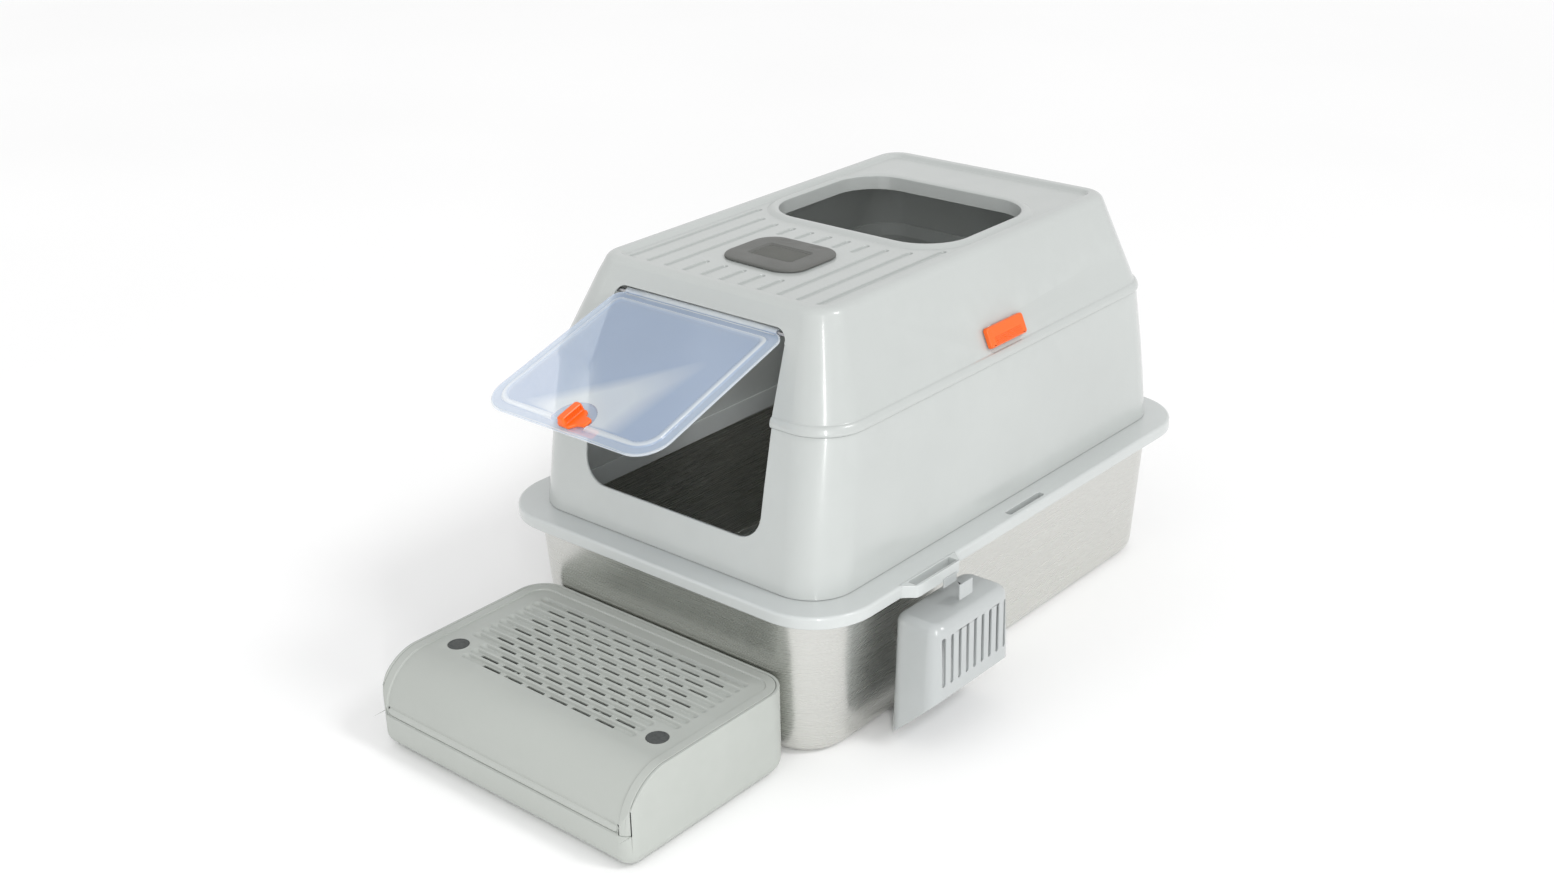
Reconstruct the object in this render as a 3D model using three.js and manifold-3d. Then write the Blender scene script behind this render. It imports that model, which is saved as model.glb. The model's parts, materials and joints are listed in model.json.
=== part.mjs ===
// Hooded cat litter box: a stainless pan, a rim frame, a two-part hood with a swinging entry flap,
// a charcoal filter, two side clips, a scoop hung on the rim and a litter-catching step in front.
// Millimetres, +Z up. The origin is the middle of the pan's underside. The entry faces -Y.
import * as THREE from "three";
import { mergeVertices } from "three/addons/utils/BufferGeometryUtils.js";
import Module from "manifold-3d";

// ---- Driving sizes ------------------------------------------------------------------------------

const CORNER_STEPS = 6; // straight pieces in each rounded corner of a plan outline
const ROUND_SIDES = 20; // sides of a round pin, plug or foot
const FIT_GAP = 0.3; // gap between pieces that touch
const SLIDE_GAP = 0.5; // gap between pieces that slide over each other
const PLASTIC_WALL = 2.6;

// Rim frame: the plastic ring that caps the pan and carries the hood.
const RIM_WIDTH = 408;
const RIM_LENGTH = 600;
const RIM_CORNER = 61;
const RIM_TOP = 155; // height of the rim's top face
const RIM_SKIRT = 11.6; // height of the rim's outer skirt
const RIM_LIP_UP = 4; // locating lip inside the hood
const RIM_EDGE_ROUND = 2.5;
const RIM_LIP_DOWN = 14; // splash lip inside the pan
const RIM_SLOT_WIDTH = 7;
const RIM_SLOT_EDGE = 5.5; // from the slot to the rim's outer edge

// Pan: drawn sheet with a rolled edge. It narrows towards its floor.
const PAN_SHEET = 1;
const PAN_RIM_INSET = 22; // from the rim's outer edge to the pan wall, just under the rim
const PAN_END_INSET = 10.5; // the same, at the front and rear
const PAN_DRAFT = 11; // how much the wall comes in, from top to floor
const PAN_FLOOR_ROUND = 14;
const PAN_ROLL = 7;
const PAN_ROLL_DROP = 4;
const PAN_CORNER = 57;

// Hood: it stands on the rim frame, inside a ledge, and comes in towards the top.
const LEDGE_SIDE = 26.5; // from the rim's outer edge to the hood's foot
const LEDGE_FRONT = 25.6;
const LEDGE_REAR = 18.5;
const HOOD_CORNER = 43;
const HOOD_SPLIT = 142; // height of the lower hood above the rim
const HOOD_LOWER_TAPER = 5; // how much the lower hood comes in at each side
const HOOD_LOWER_RAKE = 22.4; // how much its front and rear come in
const BEAD_HEIGHT = 9;
const BEAD_PROUD = 2.8;
const BEAD_STEP = 2; // how much the lid comes in above its bead
const LID_HEIGHT = 94.7;
const LID_SIDE_RAKE = 36; // how much the lid comes in from bead to top, at each side
const LID_FRONT_RAKE = 40;
const LID_REAR_RAKE = 23.5;
const LID_TOP_CORNER = 25;
const LID_SHOULDER = 11; // radius between the walls and the top
const LID_BORDER = 5; // flat border round the sunken panel
const LID_PANEL_DEPTH = 3.5;
const HOOD_BULGE = 1.2; // how far the lower walls swell at mid-height
const LID_TONGUE_ROOT = [8, 14]; // below the split, where the tongue's inner step ends and where it starts
const LID_TONGUE = 6; // height of the lower hood's tongue inside the lid

// Entry: the opening through both hood parts, and its flap.
const ENTRY_JAMB = 34.5; // from the lid's top edge to the side of the opening
const ENTRY_HEADER = 19.7; // from the lid's top down to the opening
const ENTRY_BULGE = 8.5; // how much wider each side is at the bead than at the top
const ENTRY_SPREAD = 5; // how much wider each side is at the sill than at the top
const ENTRY_TOP_CORNER = 13;
const ENTRY_SILL_CORNER = 25;
const SILL_ABOVE_RIM = 39;
const HINGE_BELOW_ENTRY = 6;
const HINGE_BEHIND_WALL = 5;
const FLAP_SIDE_GAP = 1.5;
const FLAP_SPREAD = 2.5; // how much wider each side is at the free end than at the hinge
const SILL_OVERLAP = 2.5; // how far the closed flap reaches below the sill's edge
const FLAP_THICKNESS = 2;
const FLAP_CORNER = 28;
const FLAP_BORDER = 13; // flat border round the raised panel
const FLAP_PANEL_RISE = 1.6;
const FLAP_OPEN_ANGLE = 17.5; // degrees that the open flap slopes below level
const HINGE_BARREL_RADIUS = 4;
const HINGE_PIN_RADIUS = 2;
const HINGE_PIN_GRIP = 14; // pin length inside the barrel
const HINGE_LUG_WIDTH = 6;
const HINGE_BARREL_INSET = 10; // from the flap's side edge to the barrel's end
const FLAP_TOP_CORNER = 12;

// Latch at the flap's free edge.
const LATCH_FROM_END = 17;
const LATCH_DISC_RADIUS = 9;
const LATCH_DISC_HEIGHT = 2.4;
const LATCH_GRIP = [8, 26, 7];
const LATCH_TAB = [19, 9, 3.2];
const LATCH_SHAFT_RADIUS = 3.2;
const LATCH_TONGUE = [26, 9, 2.2];
// From the flap's underside to the tongue, so that the tongue turns in behind the hood wall.
const LATCH_TONGUE_DROP = 6.4;

// Side clips, with their rim slots straight below.
const CLIP_LENGTH = 57;
const CLIP_HEIGHT = 19.5;
const CLIP_THICKNESS = 6.2;
const CLIP_CENTRE_Y = 5;
const CLIP_ABOVE_BEAD = 4;
const CLIP_AXIS_OUT = 3; // hinge axis, outwards from the lid wall
const CLIP_EAR_RADIUS = 2.4;
const CLIP_EAR_WIDTH = 5;
const CLIP_EAR_OFFSET = 16;
const CLIP_PIN_RADIUS = 1.2;

// Lid top: grooves, entry hole and filter.
const GROOVE_PITCH = 22;
const GROOVE_SIDE_MARGIN = 6;
const GROOVE_WIDTH = 6.5;
const GROOVE_DEPTH = 1.2;
const GROOVE_FRONT_MARGIN = 10;
const GROOVE_END_MARGIN = 9;
const HOLE_SIDE_MARGIN = 28.5; // from the lid's top edge to the hole
const HOLE_REAR_SHARE = 0.1862; // shares of the lid's length at its top: behind the hole,
const HOLE_LENGTH_SHARE = 0.3765; // the hole itself,
const FILTER_FRONT_SHARE = 0.2254; // and from the front edge to the filter's middle
const HOLE_CORNER = 45;
const HOLE_LIP_WIDTH = 12;
const HOLE_LIP_RISE = 3.2;
const HOLE_LIP_DROP = 12;
const FILTER_COVER = [91, 77, 3.4];
const FILTER_COVER_CORNER = 22;
const FILTER_GRILLE = [48, 30];
const FILTER_DISH_MARGIN = 6;
const FILTER_DISH_CORNER = 8;
const FILTER_DISH_DEPTH = 0.8;
const FILTER_GRILLE_BARS = [7, 4];
const FILTER_BAR = 1.4;
const FILTER_TRAY = [62, 46, 15];
const FILTER_TRAY_WALL = 1.6;
const FILTER_TRAY_CORNER = 4;
const TRAY_SLOT_PITCH = 10;
const TRAY_SLOT_WIDTH = 5;
const TRAY_SLOT_MARGIN = 8;
const FILTER_PAD_HEIGHT = 10;

// Scoop, hung on a bracket of the rim.
const SCOOP_CENTRE_Y = -142;
const HANDLE_BACK_GAP = 3; // from the rim's outer edge to the handle
const HANDLE_DEPTH = 25;
const HANDLE_LENGTH = 148;
const HANDLE_BASE_WIDTH = 38;
const HANDLE_WAIST_WIDTH = 26;
const HANDLE_TOP_WIDTH = 32;
const HANDLE_WAIST_AT = 0.52; // how far up the handle its waist is
const HANDLE_NECK_AT = 0.86; // how far up the top flares out again
const HANDLE_FOOT_FLARE = 30; // height over which the foot narrows
const HANDLE_NECK_SPREAD = 0.5;
const HANDLE_TOP_ROUND = 4;
const HANDLE_NOTCH_ABOVE_RIM = 3;
const HANDLE_WINDOW_UP = 14; // from the handle's foot to the middle of its window
const HANDLE_WINDOW = [19, 14];
const HEAD_BELOW_RIM = 18.4; // from the rim's skirt to the head's top
const HEAD_UNDER_RIM = 11; // how far the head reaches in under the rim
const HEAD_DEPTH = 51;
const HEAD_WIDTH = 109;
const HEAD_FLARE = 7; // extra half-width at the mouth
const HEAD_WALL = 2.4;
const HEAD_FRONT_HEIGHT = 72; // height of the outer wall, from the top to the mouth
const HEAD_BACK_HEIGHT = 121; // height of the wall on the pan side
const HEAD_CORNER = 14;
const HEAD_TOP_ROUND = 6;
const HEAD_SLOTS = 9;
const HEAD_SLOT = [4.2, 48];
const HEAD_SLOT_PITCH = 11.4;
const HEAD_SLOT_BELOW_TOP = 12;
const BRACKET_AHEAD = 48; // from the scoop's middle to the bracket's front end
const BRACKET_LENGTH = 66;
const BRACKET_OUT = 11;
const BRACKET_WALL = 3;
const HOOK_WIDTH = 22;
const HOOK_DROP = 16;

// Step: a hollow base with a slotted cover.
const STEP_WIDTH = 312;
const STEP_DEPTH = 203;
const STEP_HEIGHT = 83.6;
const STEP_GAP = 1.5; // between the step and the pan
const STEP_REAR_CORNER = 28;
const STEP_FRONT_CORNER = 14;
const STEP_NOSE = 48; // radius of the curved nose
const STEP_WALL = 3;
const STEP_SKIRT = 9; // depth of the cover's skirt
const STEP_SEAM_BELOW_NOSE = 2; // from the foot of the curved nose down to the cover's front edge
const STEP_RIB_X = 52; // ribs under the cover, either side of the middle
const STEP_FOOT_HEIGHT = 2;
const STEP_FOOT_RADIUS = 9;
const STEP_FOOT_INSET = 34;
const STEP_BORDER = 12;
const STEP_RECESS = 1.5;
const STEP_ROWS = 12;
const STEP_ROW_PITCH = 10.4;
const STEP_SLOT = [22, 4.4];
const STEP_SLOT_PITCH = 28;
const PLUG_RADIUS = 10;
const PLUG_FROM_SIDE = 33;
const PLUG_FROM_FRONT = 70;

// ---- Places that follow from the driving sizes ----------------------------------------------------

const splitHeight = RIM_TOP + HOOD_SPLIT;
const beadTop = splitHeight + BEAD_HEIGHT;
const lidTop = splitHeight + LID_HEIGHT;
const panelTop = lidTop - LID_PANEL_DEPTH;
const panelUnder = panelTop - PLASTIC_WALL;
const rimPlateUnder = RIM_TOP - PLASTIC_WALL;
const entryTop = lidTop - ENTRY_HEADER;
const sillHeight = RIM_TOP + SILL_ABOVE_RIM;
const skirtBottom = RIM_TOP - RIM_SKIRT;
const rimEdge = RIM_WIDTH / 2;
const rimSection = { half: rimEdge, front: -RIM_LENGTH / 2, rear: RIM_LENGTH / 2, radius: RIM_CORNER };

// A plan outline above another one, come in by its own amount at the sides, front and rear.
function above(below, z, side, front, rear, radius) {
  return { z, half: below.half - side, front: below.front + front, rear: below.rear - rear, radius };
}

const hoodFoot = above(rimSection, RIM_TOP, LEDGE_SIDE, LEDGE_FRONT, LEDGE_REAR, HOOD_CORNER);
const hoodSplit = above(
  hoodFoot, splitHeight, HOOD_LOWER_TAPER, HOOD_LOWER_RAKE, HOOD_LOWER_RAKE, HOOD_CORNER,
);
const lidFoot = above(hoodSplit, beadTop, BEAD_STEP, BEAD_STEP, BEAD_STEP, HOOD_CORNER);
const lidEdge = above(lidFoot, lidTop, LID_SIDE_RAKE, LID_FRONT_RAKE, LID_REAR_RAKE, LID_TOP_CORNER);
const hoodSections = [hoodFoot, hoodSplit, lidFoot, lidEdge];
const lidWallLean = Math.atan2(LID_SIDE_RAKE, lidTop - beadTop);
const shoulderTurn = Math.PI / 2 - lidWallLean;
const shoulderReach = LID_SHOULDER * Math.tan(shoulderTurn / 2); // from the sharp edge to the flat top
const panelHalf = lidEdge.half - shoulderReach - LID_BORDER - LID_PANEL_DEPTH;

const entryTopHalf = lidEdge.half - ENTRY_JAMB;
const entrySplitHalf = entryTopHalf + ENTRY_BULGE;
const entrySillHalf = entryTopHalf + ENTRY_SPREAD;
const flapTopHalf = entryTopHalf - FLAP_SIDE_GAP;
const flapEndHalf = flapTopHalf + FLAP_SPREAD;

const holeHalf = lidEdge.half - HOLE_SIDE_MARGIN;
const lidTopLength = lidEdge.rear - lidEdge.front;
const holeLength = lidTopLength * HOLE_LENGTH_SHARE;
const holeRear = lidEdge.rear - lidTopLength * HOLE_REAR_SHARE;
const holeFront = holeRear - holeLength;
const filterY = lidEdge.front + lidTopLength * FILTER_FRONT_SHARE;

// ---- Solids ---------------------------------------------------------------------------------------

const wasm = await Module();
wasm.setup();

// A closed three.js geometry as a solid. A geometry that is inside out is turned round.
function solid(geometry) {
  const bare = geometry.clone();
  bare.deleteAttribute("normal");
  bare.deleteAttribute("uv");
  const merged = mergeVertices(bare, 1e-4);
  const corners = new Uint32Array(merged.index.array);
  const points = merged.attributes.position.array;
  const build = () => new wasm.Manifold(new wasm.Mesh({ numProp: 3, vertProperties: points, triVerts: corners }));
  const made = build();
  if (made.volume() >= 0) return made;
  for (let i = 0; i < corners.length; i += 3) {
    [corners[i + 1], corners[i + 2]] = [corners[i + 2], corners[i + 1]];
  }
  return build();
}

function geometryOf(shape) {
  const mesh = shape.getMesh();
  const stride = mesh.numProp;
  const points = new Float32Array(mesh.numVert * 3);
  for (let i = 0; i < mesh.numVert; i += 1) {
    points.set(mesh.vertProperties.subarray(i * stride, i * stride + 3), i * 3);
  }
  const geometry = new THREE.BufferGeometry();
  geometry.setAttribute("position", new THREE.BufferAttribute(points, 3));
  geometry.setIndex(new THREE.BufferAttribute(new Uint32Array(mesh.triVerts), 1));
  geometry.computeVertexNormals();
  return geometry;
}

function joined(...shapes) {
  return shapes.reduce((all, next) => all.add(next));
}

function box(xs, ys, zs) {
  const geometry = new THREE.BoxGeometry(xs[1] - xs[0], ys[1] - ys[0], zs[1] - zs[0]);
  geometry.translate((xs[0] + xs[1]) / 2, (ys[0] + ys[1]) / 2, (zs[0] + zs[1]) / 2);
  return solid(geometry);
}

// A cylinder along X, Y or Z, between two places on that axis.
function rod(axis, radius, centre, from, to) {
  const geometry = new THREE.CylinderGeometry(radius, radius, to - from, ROUND_SIDES);
  if (axis === "x") geometry.rotateZ(Math.PI / 2);
  if (axis === "z") geometry.rotateX(Math.PI / 2);
  const middle = (from + to) / 2;
  if (axis === "x") geometry.translate(middle, centre[0], centre[1]);
  if (axis === "y") geometry.translate(centre[0], middle, centre[1]);
  if (axis === "z") geometry.translate(centre[0], centre[1], middle);
  return solid(geometry);
}

// The hood's outline at any height, between its four stated sections.
function hoodAt(z) {
  const upper = Math.max(1, hoodSections.findIndex((s) => s.z >= z - 1e-9));
  const a = hoodSections[upper - 1];
  const b = hoodSections[upper];
  const t = (z - a.z) / (b.z - a.z);
  const mix = (key) => a[key] + (b[key] - a[key]) * t;
  return { half: mix("half"), front: mix("front"), rear: mix("rear"), radius: mix("radius") };
}

function inset(section, by) {
  return {
    half: section.half - by,
    front: section.front + by,
    rear: section.rear - by,
    radius: Math.max(2, section.radius - by),
  };
}

// The points of a rounded rectangle at height z.
function outline(section, z) {
  const { half, front, rear, radius } = section;
  const centres = [
    [half - radius, rear - radius, 0],
    [radius - half, rear - radius, Math.PI / 2],
    [radius - half, front + radius, Math.PI],
    [half - radius, front + radius, Math.PI * 1.5],
  ];
  const points = [];
  for (const [x, y, start] of centres) {
    for (let k = 0; k <= CORNER_STEPS; k += 1) {
      const angle = start + (Math.PI / 2) * (k / CORNER_STEPS);
      points.push([x + radius * Math.cos(angle), y + radius * Math.sin(angle), z]);
    }
  }
  return points;
}

// Skins a stack of outlines. A ring joins its last outline to its first; otherwise both ends are capped.
function loft(rows, ring = false) {
  const count = rows[0].length;
  const points = rows.flat(2);
  const corners = [];
  const last = ring ? rows.length : rows.length - 1;
  for (let r = 0; r < last; r += 1) {
    const next = (r + 1) % rows.length;
    for (let k = 0; k < count; k += 1) {
      const a = r * count + k;
      const b = r * count + ((k + 1) % count);
      const c = next * count + ((k + 1) % count);
      const d = next * count + k;
      corners.push(a, b, c, a, c, d);
    }
  }
  if (!ring) {
    const top = (rows.length - 1) * count;
    for (let k = 1; k < count - 1; k += 1) {
      corners.push(0, k + 1, k, top, top + k, top + k + 1);
    }
  }
  const geometry = new THREE.BufferGeometry();
  geometry.setAttribute("position", new THREE.Float32BufferAttribute(points, 3));
  geometry.setIndex(corners);
  return solid(geometry);
}

function plate(section, from, to) {
  return loft([outline(section, from), outline(section, to)]);
}

function centredSection(width, length, radius, centreY = 0) {
  return { half: width / 2, front: centreY - length / 2, rear: centreY + length / 2, radius };
}

// A closed outline of [u, v] corners, each with a rounding radius, as a shape.
function roundedShape(corners) {
  const shape = new THREE.Shape();
  corners.forEach(([u, v, radius], i) => {
    const corner = new THREE.Vector2(u, v);
    const before = corners[(i + corners.length - 1) % corners.length];
    const after = corners[(i + 1) % corners.length];
    const back = new THREE.Vector2(before[0] - u, before[1] - v).setLength(radius).add(corner);
    const ahead = new THREE.Vector2(after[0] - u, after[1] - v).setLength(radius).add(corner);
    if (i === 0) shape.moveTo(back.x, back.y);
    else shape.lineTo(back.x, back.y);
    if (radius > 0) shape.quadraticCurveTo(corner.x, corner.y, ahead.x, ahead.y);
  });
  shape.closePath();
  return shape;
}

// Extrudes a shape drawn in XZ along Y.
function alongY(shape, from, to) {
  const geometry = new THREE.ExtrudeGeometry(shape, { depth: to - from, bevelEnabled: false, curveSegments: 5 });
  geometry.rotateX(Math.PI / 2);
  geometry.translate(0, to, 0);
  return solid(geometry);
}

// Extrudes a shape drawn in YZ along X.
function alongX(shape, from, to) {
  const geometry = new THREE.ExtrudeGeometry(shape, { depth: to - from, bevelEnabled: false, curveSegments: 8 });
  geometry.rotateY(Math.PI / 2);
  geometry.rotateX(Math.PI / 2);
  geometry.translate(from, 0, 0);
  return solid(geometry);
}

// Extrudes a shape drawn in XY along Z.
function alongZ(shape, from, to) {
  const geometry = new THREE.ExtrudeGeometry(shape, { depth: to - from, bevelEnabled: false, curveSegments: 5 });
  geometry.translate(0, 0, from);
  return solid(geometry);
}

// ---- Materials ------------------------------------------------------------------------------------

const material = (color, roughness, metalness = 0, extra = {}) =>
  new THREE.MeshStandardMaterial({ color, roughness, metalness, ...extra });
const shellPlastic = material("#cdd1cf", 0.45);
const stepPlastic = material("#ccd1cc", 0.5);
const orangePlastic = material("#fa7832", 0.4);
const greyPlastic = material("#7d7e7a", 0.55);
const flapPlastic = material("#a9bbcf", 0.15, 0, { transparent: true, opacity: 0.55 });
const steel = material("#c9cbcb", 0.25, 1);
const rubber = material("#4d504f", 0.85);
const charcoal = material("#2b2b2b", 0.95);

const model = new THREE.Group();

function place(parent, name, shape, look) {
  const mesh = new THREE.Mesh(geometryOf(shape), look);
  mesh.name = name;
  parent.add(mesh);
}

// ---- Pan and rim ----------------------------------------------------------------------------------

const panTop = rimPlateUnder - FIT_GAP;
const panWallTop = {
  half: RIM_WIDTH / 2 - PAN_RIM_INSET,
  front: PAN_END_INSET - RIM_LENGTH / 2,
  rear: RIM_LENGTH / 2 - PAN_END_INSET,
  radius: PAN_CORNER,
};

function panAt(z, extra) {
  return outline(inset(panWallTop, PAN_DRAFT * (1 - z / panTop) + extra), z);
}

function pan() {
  const floorRound = [0, 1, 2, 3].map((k) => {
    const angle = ((Math.PI / 2) * k) / 3;
    return [PAN_FLOOR_ROUND * (1 - Math.cos(angle)), PAN_FLOOR_ROUND * (1 - Math.sin(angle))];
  });
  const outside = floorRound.map(([z, come]) => panAt(z, come));
  const rolled = [
    panAt(panTop - PAN_SHEET, 0),
    panAt(panTop - PAN_SHEET, -PAN_ROLL + PAN_SHEET),
    panAt(panTop - PAN_ROLL_DROP, -PAN_ROLL + PAN_SHEET),
    panAt(panTop - PAN_ROLL_DROP, -PAN_ROLL),
    panAt(panTop - PAN_SHEET, -PAN_ROLL),
    panAt(panTop, -PAN_ROLL + PAN_SHEET),
    panAt(panTop, PAN_SHEET),
  ];
  const inside = floorRound.map(([z, come]) => panAt(z + PAN_SHEET, come + PAN_SHEET)).reverse();
  return loft([...outside, ...rolled, ...inside]);
}

place(model, "steel_pan", pan(), steel);

const bracketFront = SCOOP_CENTRE_Y - BRACKET_AHEAD;
const bracketRear = bracketFront + BRACKET_LENGTH;
const bracketSlotInner = rimEdge - 1;
const bracketSlotOuter = rimEdge + BRACKET_OUT - BRACKET_WALL;

function rimFrame() {
  const lip = inset(hoodAt(RIM_TOP + RIM_LIP_UP), PLASTIC_WALL + SLIDE_GAP);
  const lipInner = inset(lip, PLASTIC_WALL);
  const lipBottom = rimPlateUnder - RIM_LIP_DOWN;
  const ring = loft(
    [
      outline(rimSection, skirtBottom),
      outline(rimSection, RIM_TOP - RIM_EDGE_ROUND),
      outline(inset(rimSection, RIM_EDGE_ROUND * 0.3), RIM_TOP - RIM_EDGE_ROUND * 0.3),
      outline(inset(rimSection, RIM_EDGE_ROUND), RIM_TOP),
      outline(lip, RIM_TOP),
      outline(lip, RIM_TOP + RIM_LIP_UP),
      outline(lipInner, RIM_TOP + RIM_LIP_UP),
      outline(lipInner, lipBottom),
      outline(lip, lipBottom),
      outline(lip, rimPlateUnder),
      outline(inset(rimSection, PLASTIC_WALL), rimPlateUnder),
      outline(inset(rimSection, PLASTIC_WALL), skirtBottom),
    ],
    true,
  );
  const slotHalf = CLIP_LENGTH / 2;
  const slots = [-1, 1].map((side) => {
    const outer = side * (rimEdge - RIM_SLOT_EDGE);
    const inner = side * (rimEdge - RIM_SLOT_EDGE - RIM_SLOT_WIDTH);
    return box(
      [Math.min(inner, outer), Math.max(inner, outer)],
      [CLIP_CENTRE_Y - slotHalf, CLIP_CENTRE_Y + slotHalf],
      [rimPlateUnder - 1, RIM_TOP + 1],
    );
  });
  const bracketAcross = [rimEdge - PLASTIC_WALL, rimEdge + BRACKET_OUT];
  const bracket = box(bracketAcross, [bracketFront, bracketRear], [skirtBottom, RIM_TOP]);
  const bracketSlot = box(
    [bracketSlotInner, bracketSlotOuter],
    [bracketFront + BRACKET_WALL, bracketRear - BRACKET_WALL],
    [skirtBottom - 1, RIM_TOP + 1],
  );
  return joined(ring, bracket).subtract(bracketSlot).subtract(slots[0]).subtract(slots[1]);
}

place(model, "rim_frame", rimFrame(), shellPlastic);

// ---- Hood -----------------------------------------------------------------------------------------

function entryCutter() {
  const shape = roundedShape([
    [-entryTopHalf, entryTop, ENTRY_TOP_CORNER],
    [-entrySplitHalf, splitHeight, 0],
    [-entrySillHalf, sillHeight, ENTRY_SILL_CORNER],
    [entrySillHalf, sillHeight, ENTRY_SILL_CORNER],
    [entrySplitHalf, splitHeight, 0],
    [entryTopHalf, entryTop, ENTRY_TOP_CORNER],
  ]);
  const past = 20; // past the wall, in front and behind
  return alongY(shape, hoodFoot.front - past, lidEdge.front + past);
}

function lowerHood() {
  const base = RIM_TOP + FIT_GAP;
  const top = splitHeight - FIT_GAP;
  const tongue = PLASTIC_WALL + SLIDE_GAP;
  const tongueInner = tongue + PLASTIC_WALL;
  const middle = (base + top) / 2;
  const [rootTop, rootBottom] = LID_TONGUE_ROOT;
  const at = (z, by) => outline(inset(hoodAt(z), by), z);
  const ring = loft(
    [
      at(base, 0),
      at(middle, -HOOD_BULGE),
      at(top, 0),
      at(top, tongue),
      at(top + LID_TONGUE, tongue),
      at(top + LID_TONGUE, tongueInner),
      at(top - rootTop, tongueInner),
      at(top - rootBottom, PLASTIC_WALL),
      at(middle, PLASTIC_WALL - HOOD_BULGE),
      at(base, PLASTIC_WALL),
    ],
    true,
  );
  return ring.subtract(entryCutter());
}

place(model, "lower_hood", lowerHood(), shellPlastic);

function groove(x, from, to) {
  const end = GROOVE_WIDTH / 2;
  const shape = roundedShape([
    [x - end, from, end * 0.9],
    [x + end, from, end * 0.9],
    [x + end, to, end * 0.9],
    [x - end, to, end * 0.9],
  ]);
  return alongZ(shape, panelTop - GROOVE_DEPTH, panelTop + 1);
}

// The rounded front edge of the hole's lip, as the last place a groove at x may reach.
function lipFrontAt(x) {
  const half = holeHalf + HOLE_LIP_WIDTH;
  const radius = HOLE_CORNER + HOLE_LIP_WIDTH;
  const into = Math.max(0, Math.abs(x) - (half - radius));
  return holeFront - HOLE_LIP_WIDTH + radius - Math.sqrt(radius * radius - into * into);
}

function grooves() {
  const eachSide = Math.floor((panelHalf - GROOVE_SIDE_MARGIN) / GROOVE_PITCH);
  const front = lidEdge.front + LID_BORDER + LID_PANEL_DEPTH + GROOVE_FRONT_MARGIN;
  const coverHalf = FILTER_COVER[0] / 2;
  const coverFront = filterY - FILTER_COVER[1] / 2 - GROOVE_END_MARGIN;
  const coverRear = filterY + FILTER_COVER[1] / 2 + GROOVE_END_MARGIN;
  const cuts = [];
  // A groove with no room for its two round ends is left out.
  const addGroove = (x, from, to) => {
    if (to - from > 1.5 * GROOVE_WIDTH) cuts.push(groove(x, from, to));
  };
  for (let k = -eachSide; k <= eachSide; k += 1) {
    const x = k * GROOVE_PITCH;
    const rear = lipFrontAt(x) - GROOVE_END_MARGIN;
    if (Math.abs(x) < coverHalf + GROOVE_WIDTH) {
      addGroove(x, front, coverFront);
      addGroove(x, coverRear, rear);
    } else {
      addGroove(x, front, rear);
    }
  }
  return cuts;
}

const hingeHeight = entryTop - HINGE_BELOW_ENTRY;
const hingeY = hoodAt(hingeHeight).front + HINGE_BEHIND_WALL;
const clipAxis = { x: CLIP_AXIS_OUT, z: CLIP_EAR_RADIUS - CLIP_AXIS_OUT - 1.8 };
const clipTopHeight = beadTop + CLIP_ABOVE_BEAD + CLIP_HEIGHT * Math.cos(lidWallLean);

// Puts a shape made against a wall at x = 0 onto the lid's side wall at the clip's place.
function onLidSide(geometryGroup, side) {
  geometryGroup.position.set(side * hoodAt(clipTopHeight).half, CLIP_CENTRE_Y, clipTopHeight);
  geometryGroup.rotation.set(0, -side * lidWallLean, 0);
  geometryGroup.scale.set(side, 1, 1);
  geometryGroup.updateMatrixWorld(true);
  return geometryGroup;
}

function clipEars(side) {
  const seat = onLidSide(new THREE.Group(), side);
  const ears = [-1, 1].map((end) => {
    const from = end * CLIP_EAR_OFFSET - CLIP_EAR_WIDTH / 2;
    const to = from + CLIP_EAR_WIDTH;
    const neck = box(
      [-PLASTIC_WALL / 2, clipAxis.x],
      [from, to],
      [clipAxis.z - CLIP_EAR_RADIUS, clipAxis.z + CLIP_EAR_RADIUS],
    );
    const round = rod("y", CLIP_EAR_RADIUS, [clipAxis.x, clipAxis.z], from, to);
    const bore = rod("y", CLIP_PIN_RADIUS + FIT_GAP, [clipAxis.x, clipAxis.z], from - 1, to + 1);
    const ear = geometryOf(joined(neck, round).subtract(bore));
    ear.applyMatrix4(seat.matrixWorld);
    return solid(ear);
  });
  return joined(...ears);
}

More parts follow.
